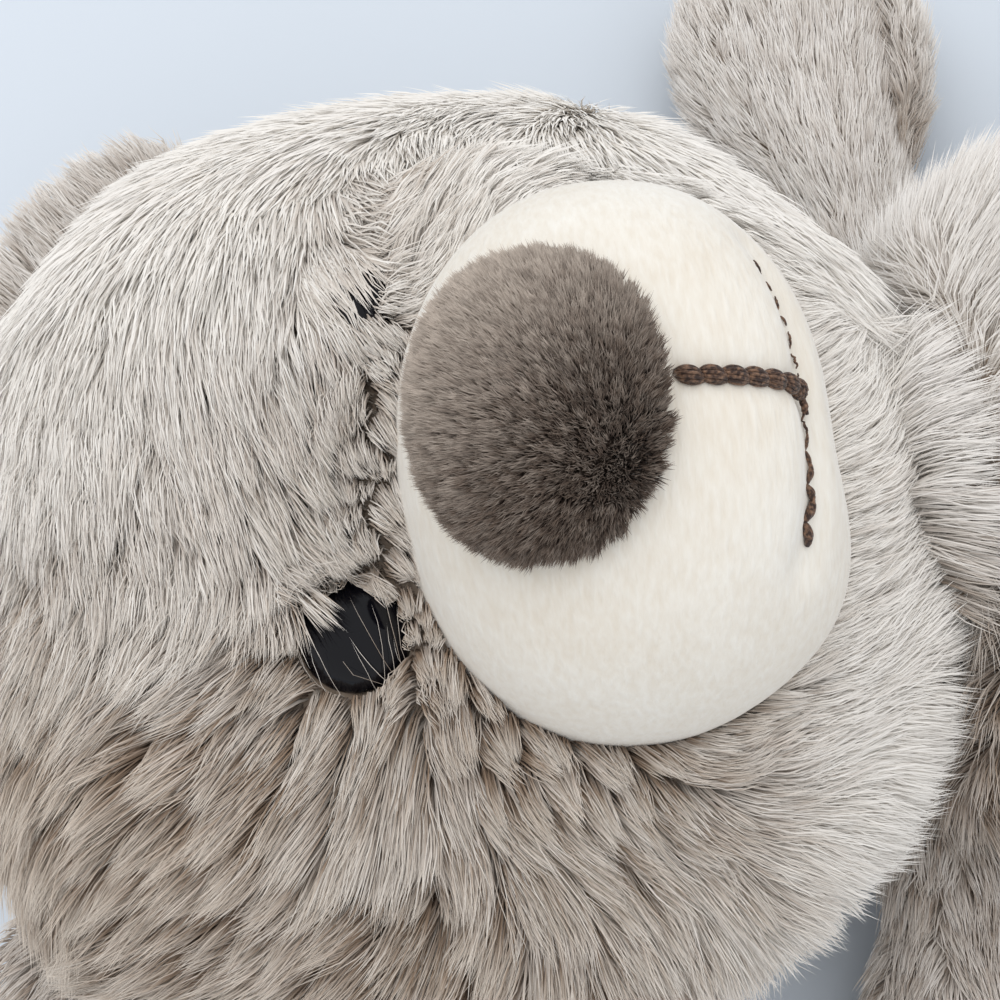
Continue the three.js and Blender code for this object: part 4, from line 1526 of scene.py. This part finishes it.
@dataclass
class Ear:
    """A round ear: a thin padded lobe, dished on top, with fur."""

    side: int
    word: str
    angle: float = 48.0
    height: float = 31.0
    reach: float = 20.0
    length: float = 27.0
    width: float = 45.0
    thickness: float = 13.0
    pile: float = 3.2
    hair: float = 6.5

    def place(self) -> Matrix:
        """Where the ear folds: +X outward from the head, in millimetres."""
        angle = math.pi - self.side * math.radians(self.angle)
        outward = np.array([math.cos(angle), math.sin(angle), 0.0])
        half = np.array(HEAD.size) / 2
        share = (np.abs(outward / half) ** HEAD.fullness).sum() ** (-1 / HEAD.fullness)
        rise = abs((self.height - HEAD.centre[2]) / half[2]) ** HEAD.fullness
        reach = share * (1 - rise) ** (1 / HEAD.fullness) + 1.6
        move = Matrix.Translation(Vector((*(outward * reach)[:2], self.height)))
        return move @ Matrix.Rotation(angle, 4, "Z")

    def build(self) -> None:
        """Builds the lobe and its fur."""
        form = Form((self.reach - self.length / 2, 0, 0), (self.length, self.width, self.thickness), 2.2)
        skin = primitive_ball(f"{self.word}_ear_skin", form, -self.pile, 40, 24)
        placed = np.array(self.place())
        local = coordinates(skin)
        dish = 1.8 * np.exp(-(((local[:, 0] - 9) / 7) ** 2) - (local[:, 1] / 12) ** 2)
        local[:, 2] -= dish * (local[:, 2] > 0)
        set_coordinates(skin, local @ placed[:3, :3].T + placed[:3, 3])
        Stuffing(voxel=2.2, swell=0.6).remesh(skin)
        Stuffing(voxel=2.2, swell=0.6).inflate(skin)
        dress(skin, Finish.BACKING, f"{self.word}_ear")
        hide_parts(f"{self.word}_ear_front", f"{self.word}_ear_back")
        root = placed[:3, 3]
        outward = tuple(placed[:3, 0])
        Coat(
            name=f"{self.word}_ear_fur",
            body=f"{self.word}_ear",
            finish=Finish.LIMB_FUR,
            slot="fur",
            flow=along_axis(outward, 0.1),
            density=lambda p, n: 4.6 * (HEAD.level(p, -1.5) > 1),
            length=lambda p, n: np.full(len(p), self.hair) * (0.8 + 0.2 * smooth((p - root) @ np.array(outward), 0, 10)),
            # The near (right) ear's roots are darker: a painted shade, as that ear lies in shade.
            pale=lambda p, n: np.full(len(p), 0.62 if self.side > 0 else 0.35),
            width=0.24,
            tuft=1.3,
            stand=(50.0, 22.0),
        ).grow(skin)


@dataclass
class Limb:
    """An arm or a leg: a padded skin lofted along its stations, and its fur."""

    word: str
    part: str
    root: tuple[float, float, float]
    splay: float
    stations: list[tuple[float, float, float, float]]
    ball: float
    pile: float
    hair: float
    seen: float
    strand: float
    # how light the roots are; lower on the near limbs as a painted shade
    paleness: float = 0.4
    tip: float | None = None
    crease: float | None = None  # how far beside its middle an arm is creased, along the bear

    def rings(self) -> list[tuple[float, float, float, float]]:
        """The rings of the skin, from inside the body to the end."""
        thin = self.pile
        radius = self.ball - thin
        rings = [(-radius * math.cos(a), radius * math.sin(a), radius * math.sin(a), 0.0) for a in (0.12, 0.5, 0.9, 1.3)]
        count = 14
        knots = np.array(self.stations)
        for along in np.linspace(knots[1, 0], knots[-1, 0], count):
            width, thick, sink = (catmull(knots[:, 0], knots[:, k], along) for k in (1, 2, 3))
            rings.append((float(along), float(width - thin), float(thick - thin), float(-sink)))
        if self.tip is not None:
            last = rings[-1]
            span = self.tip - thin - last[0]
            for a in (0.4, 0.8, 1.15, 1.42):
                rings.append((last[0] + span * math.sin(a), last[1] * math.cos(a), last[2] * math.cos(a), last[3]))
        else:
            last = rings[-1]
            rings.append((last[0] + 0.6, last[1] * 0.72, last[2] * 0.72, last[3]))
            rings.append((last[0] + 0.7, last[1] * 0.2, last[2] * 0.2, last[3]))
        return rings

    def creased(self, points: Array) -> Array:
        """How near places are to the crease: 1 in it and 0 away from it."""
        gap = points[:, 0] - self.root[0] - self.crease
        along = np.abs(points[:, 1] - self.root[1])
        return np.exp(-((gap / 3.6) ** 2)) * smooth(along, 12, 26)

    def pale(self, points: Array, normals: Array) -> Array:
        """How light the roots are, darker in the crease: a painted crease shade."""
        amount = np.full(len(points), self.paleness)
        if self.crease is not None:
            # Painted shade in the crease.
            amount -= 0.7 * self.creased(points)
        return amount

    def placed(self) -> Matrix:
        """Where the limb turns, in millimetres."""
        return Matrix.Translation(Vector(self.root)) @ Matrix.Rotation(math.radians(self.splay), 4, "Z")

    def build(self) -> bpy.types.Object:
        """Builds the skin and its fur, and returns the skin."""
        skin = lofted(f"{self.word}_{self.part}_skin", self.rings(), 32)
        placed = np.array(self.placed())
        flat = np.empty(len(skin.data.vertices) * 3)
        skin.data.vertices.foreach_get("co", flat)
        local = flat.reshape(-1, 3) / MM
        set_coordinates(skin, local @ placed[:3, :3].T + placed[:3, 3])
        firm = Stuffing(voxel=2.6, swell=0.8)
        firm.remesh(skin)
        firm.inflate(skin)
        if self.crease is not None:
            points = coordinates(skin)
            points[:, 2] -= 6.5 * self.creased(points) * (points[:, 2] > self.root[2])
            set_coordinates(skin, points)
        flatten(skin, 1.0)
        body = f"{self.word}_{self.part}"
        dress(skin, Finish.BACKING, body)
        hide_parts(f"{body}_cover", f"{body}_filling")
        outward = tuple(placed[:3, 0])
        origin = placed[:3, 3]

        def density(points: Array, normals: Array) -> Array:
            """Strands to a square millimetre, none inside the body or on the sole."""
            along = (points - origin) @ np.array(outward)
            shown = (BODY.level(points, -2.0) > 1) & (HEAD.level(points, -3.0) > 1)
            if self.tip is None:
                shown &= along < self.stations[-1][0] - self.pile + 0.2
            return self.seen * (0.45 + 0.55 * smooth(points[:, 2], 4, 16)) * shown

        Coat(
            name=f"{self.word}_{self.part}_fur",
            body=body,
            finish=Finish.LIMB_FUR,
            slot="fur",
            flow=along_axis(outward, 0.12),
            density=density,
            length=lambda p, n: np.full(len(p), self.hair) * (1 - 0.5 * smooth(-p[:, 2], -8, -1)),
            pale=self.pale,
            width=self.strand,
            tuft=1.4,
            lock=6.0,
            stand=(46.0, 17.0),
        ).grow(skin)
        return skin


def catmull(xs: Array, ys: Array, x: float) -> float:
    """A smooth value between stations."""
    k = int(np.clip(np.searchsorted(xs, x) - 1, 0, len(xs) - 2))
    slopes = np.gradient(ys, xs)
    h = xs[k + 1] - xs[k]
    t = (x - xs[k]) / h
    a = (2 * t**3 - 3 * t**2 + 1) * ys[k] + (t**3 - 2 * t**2 + t) * h * slopes[k]
    return a + (-2 * t**3 + 3 * t**2) * ys[k + 1] + (t**3 - t**2) * h * slopes[k + 1]


ARM_STATIONS = [(2, 7, 7, 0), (12, 12.5, 11, 0.5), (24, 16.5, 12, 3), (38, 22.5, 13.5, 6), (52, 22.5, 13.5, 6), (64, 15.5, 9.5, 6)]
LEG_STATIONS = [(2, 9, 9, 0), (11, 14.8, 14.8, 0), (24, 19, 19.5, 0), (35, 20.5, 24, -3), (43, 21.5, 27.5, -6.5), (49, 18.5, 24.5, -6.5)]
SHOULDER = (67.5, 42.0, 20.0)
HIP = (149.0, 31.0, 21.5)


@dataclass
class Sole:
    """A flat oval of short cream plush on the end of a foot."""

    side: int
    word: str
    thickness: float = 2.5
    edge: float = 1.5

    def build(self) -> None:
        """Builds the padded oval."""
        end, wide, tall, sink = LEG_STATIONS[-1]
        form = Form((end + 0.3 + self.thickness / 2, 0, -sink), (self.thickness, 2 * (wide - self.edge), 2 * (tall - self.edge)), 2.6)
        turn = np.array(Matrix.Rotation(self.side * math.radians(8), 3, "Z"))
        origin = np.array([HIP[0], self.side * HIP[1], HIP[2]])
        pad = primitive_ball(f"{self.word}_sole_pad", form, 0.0, 64, 48, lying=True)
        set_coordinates(pad, coordinates(pad) @ turn.T + origin)
        dress(pad, Finish.CREAM_PLUSH, f"{self.word}_leg")
        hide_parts(f"{self.word}_sole")


@dataclass
class Body:
    """The body: a padded skin dished for the head, and its fur."""

    pile: float = 5.2
    hair: float = 11.0
    seen: float = 5.0
    unseen: float = 1.5

    def fine(self, points: Array, normals: Array) -> Array:
        """Where the photograph shows the body: near the head."""
        return smooth(-points[:, 0], -112, -88) * smooth(points[:, 2], 20, 40)

    def density(self, points: Array, normals: Array) -> Array:
        """Strands to a square millimetre, none in the head's dish or the limbs' sockets."""
        amount = self.unseen + (self.seen - self.unseen) * self.fine(points, normals)
        amount = amount * (HEAD.level(points, 4.5) > 1)
        for place, radius in ((SHOULDER, 13.5), (HIP, 16.5)):
            for side in SIDES.values():
                gap = np.linalg.norm(points - np.array([place[0], side * place[1], place[2]]), axis=1)
                amount = amount * (gap > radius)
        return amount * (1 - 0.8 * smooth(-points[:, 2], -6, -2))

    def length(self, points: Array, normals: Array) -> Array:
        """How long the hair is."""
        return self.hair * (1 - 0.6 * smooth(-points[:, 2], -8, -1))

    def build(self) -> None:
        """Builds the skin and its hair."""
        skin = primitive_ball("body_skin", BODY, -self.pile, 48, 32)
        firm = Stuffing(voxel=4.5, swell=1.0)
        firm.remesh(skin)
        firm.inflate(skin)
        points = HEAD.push_out(coordinates(skin), 7.0)
        set_coordinates(skin, points)
        flatten(skin, 1.0)
        dress(skin, Finish.BACKING, "torso")
        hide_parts("body_cover", "body_filling_front", "body_filling_back")
        Coat(
            name="body_fur",
            body="torso",
            finish=Finish.LIMB_FUR,
            slot="fur",
            flow=away_from((22.0, 6.0, 58.0)),
            density=self.density,
            length=self.length,
            fine=self.fine,
            # Roots darker on the near side: a painted shade where the head shades the body, besides dark roots that
            # show.
            pale=lambda p, n: 0.05 + 0.92 * smooth(p[:, 1], -34, 4),
            width=0.19,
            tuft=1.4,
            lock=5.5,
            bunch=0.35,
            stand=(54.0, 24.0),
        ).grow(skin)

    def stuff_neck(self) -> None:
        """Builds the rolled fibre ball that the head turns on."""
        low, high = (from_row(np.array(corner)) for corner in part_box("neck_filling"))
        size = tuple(high - low)
        neck = primitive_ball("neck_skin", Form(tuple((low + high) / 2), size, 2.0), -0.4, 32, 20)
        dress(neck, Finish.BACKING, "neck")
        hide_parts("neck_filling")
        Coat(
            name="neck_fur",
            body="neck",
            finish=Finish.LIMB_FUR,
            slot="fur",
            flow=away_from((22.0, 6.0, 50.0)),
            density=lambda p, n: 9.0 * (HEAD.level(p, -4.0) > 1) * (BODY.level(p, -3.0) > 1) * (p[:, 2] > 20),
            length=lambda p, n: np.full(len(p), 13.0),
            keep_out=lambda p: MUZZLE.push_out(p, 1.5),
            # Roots darker on the near side: a painted shade, as on the body.
            pale=lambda p, n: 0.3 + 0.7 * smooth(p[:, 1], -16, 2),
            stand=(75.0, 55.0, 34.0),
        ).grow(neck)


def finish_rattle() -> None:
    """Gives the moulded pieces that stay as the CAD has them their finish."""
    finishes = {"capsule": Finish.CAPSULE, "washer": Finish.CAPSULE, "bead": Finish.BEAD}
    for name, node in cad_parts.items():
        for word, finish in finishes.items():
            if word in name:
                node.data.materials.clear()
                node.data.materials.append(material_of(finish))


@dataclass
class Studio:
    """The floor, the light and the camera at the photograph's viewing angle, in millimetres from the head."""

    camera_at: tuple = (1.03, -54.22, 264.54)
    looks_along: tuple = (0.02265, 0.26695, -0.96344)
    azimuth: float = -4.85
    roll: float = -0.7
    view_angle: float = 33.57

    def build(self) -> None:
        """Builds the stage."""
        self.lay_floor()
        self.hang_lights()
        self.set_camera()
        bpy.context.scene.view_settings.view_transform = "Standard"

    def lay_floor(self) -> None:
        """Lays a pale floor that keeps the toy's shadow."""
        deselect()
        bpy.ops.mesh.primitive_plane_add(size=16, location=(0, 0, 0))
        floor = bpy.context.object
        floor.name = "floor"
        made = Shader("floor")
        cloud = made.noise(1.5, 1.0)
        colour = made.ramp(cloud, [(0.3, linear(213, 221, 230)), (0.7, linear(217, 225, 234))])
        floor.data.materials.append(made.finish(Base_Color=colour, Roughness=0.8, Specular_IOR_Level=0.2))

    def hang_lights(self) -> None:
        """Hangs a big soft window on the far side and lets the room fill in."""
        self.hang_light("window", (-0.25, 0.42, 1.0), 1.4, 7.2)
        self.hang_light("fill", (0.5, -0.75, 0.8), 0.9, 1.2)
        world = bpy.data.worlds.new("room")
        bpy.context.scene.world = world
        world.use_nodes = True
        tree = world.node_tree
        room = tree.nodes["Background"]
        room.inputs["Color"].default_value = (0.97, 0.98, 1.0, 1)
        room.inputs["Strength"].default_value = 0.75
        backdrop = tree.nodes.new("ShaderNodeBackground")
        backdrop.inputs["Color"].default_value = (*linear(206, 216, 228), 1)
        seen = tree.nodes.new("ShaderNodeLightPath")
        choice = tree.nodes.new("ShaderNodeMixShader")
        tree.links.new(seen.outputs["Is Camera Ray"], choice.inputs[0])
        tree.links.new(room.outputs[0], choice.inputs[1])
        tree.links.new(backdrop.outputs[0], choice.inputs[2])
        tree.links.new(choice.outputs[0], tree.nodes["World Output"].inputs["Surface"])

    @staticmethod
    def hang_light(name: str, place: tuple[float, float, float], size: float, power: float) -> None:
        """Hangs an area light that looks at the toy."""
        light = bpy.data.lights.new(name, "AREA")
        light.energy = power
        light.size = size
        obj = bpy.data.objects.new(name, light)
        obj.visible_glossy = False
        bpy.context.scene.collection.objects.link(obj)
        aim = Vector((0, 0, 0.04)) - Vector(place)
        obj.matrix_world = Matrix.Translation(place) @ aim.to_track_quat("-Z", "Y").to_matrix().to_4x4()

    def set_camera(self) -> None:
        """Sets the camera where the photograph was taken from."""
        azimuth, roll = math.radians(self.azimuth), math.radians(self.roll)
        forward = Vector(self.looks_along).normalized()
        level = Vector((math.cos(azimuth), math.sin(azimuth), 0))
        above = level.cross(forward)
        right = level * math.cos(roll) + above * math.sin(roll)
        up = above * math.cos(roll) - level * math.sin(roll)
        camera = bpy.data.cameras.new("camera")
        camera.sensor_fit = "HORIZONTAL"
        camera.angle = math.radians(self.view_angle)
        camera.clip_start = 0.005
        obj = bpy.data.objects.new("camera", camera)
        bpy.context.scene.collection.objects.link(obj)
        place = to_row(np.array(self.camera_at)[None])[0]
        turn = Matrix((right, up, -forward)).transposed().to_4x4()
        obj.matrix_world = Matrix.Translation(Vector(place)) @ turn
        bpy.context.scene.camera = obj


def main() -> None:
    """Builds the bear and its stage."""
    logging.basicConfig(level=logging.INFO, format="%(message)s")
    Head().build()
    Muzzle().build()
    Nose().build()
    body = Body()
    body.build()
    body.stuff_neck()
    for word, side in SIDES.items():
        Eye(side, word).build()
        Ear(side, word).build()
        shoulder = (SHOULDER[0], side * SHOULDER[1], SHOULDER[2])
        # The near (right) arm's roots are darker: a painted shade where the head shades it, besides dark roots that
        # show.
        pale = 0.8 if side > 0 else 0.4
        Limb(word, "arm", shoulder, side * 93.0, ARM_STATIONS, 14.0, 3.4, 6.8, 5.0, 0.22, pale, 69.0, 9.0).build()
        hip = (HIP[0], side * HIP[1], HIP[2])
        # The near (right) leg's roots are darker: a painted shade on the side away from the window.
        pale = 0.65 if side > 0 else 0.4
        Limb(word, "leg", hip, side * 8.0, LEG_STATIONS, 17.0, 4.2, 8.5, 2.6, 0.3, pale).build()
        Sole(side, word).build()
    finish_rattle()
    Studio().build()


if __name__ == "__main__":
    main()
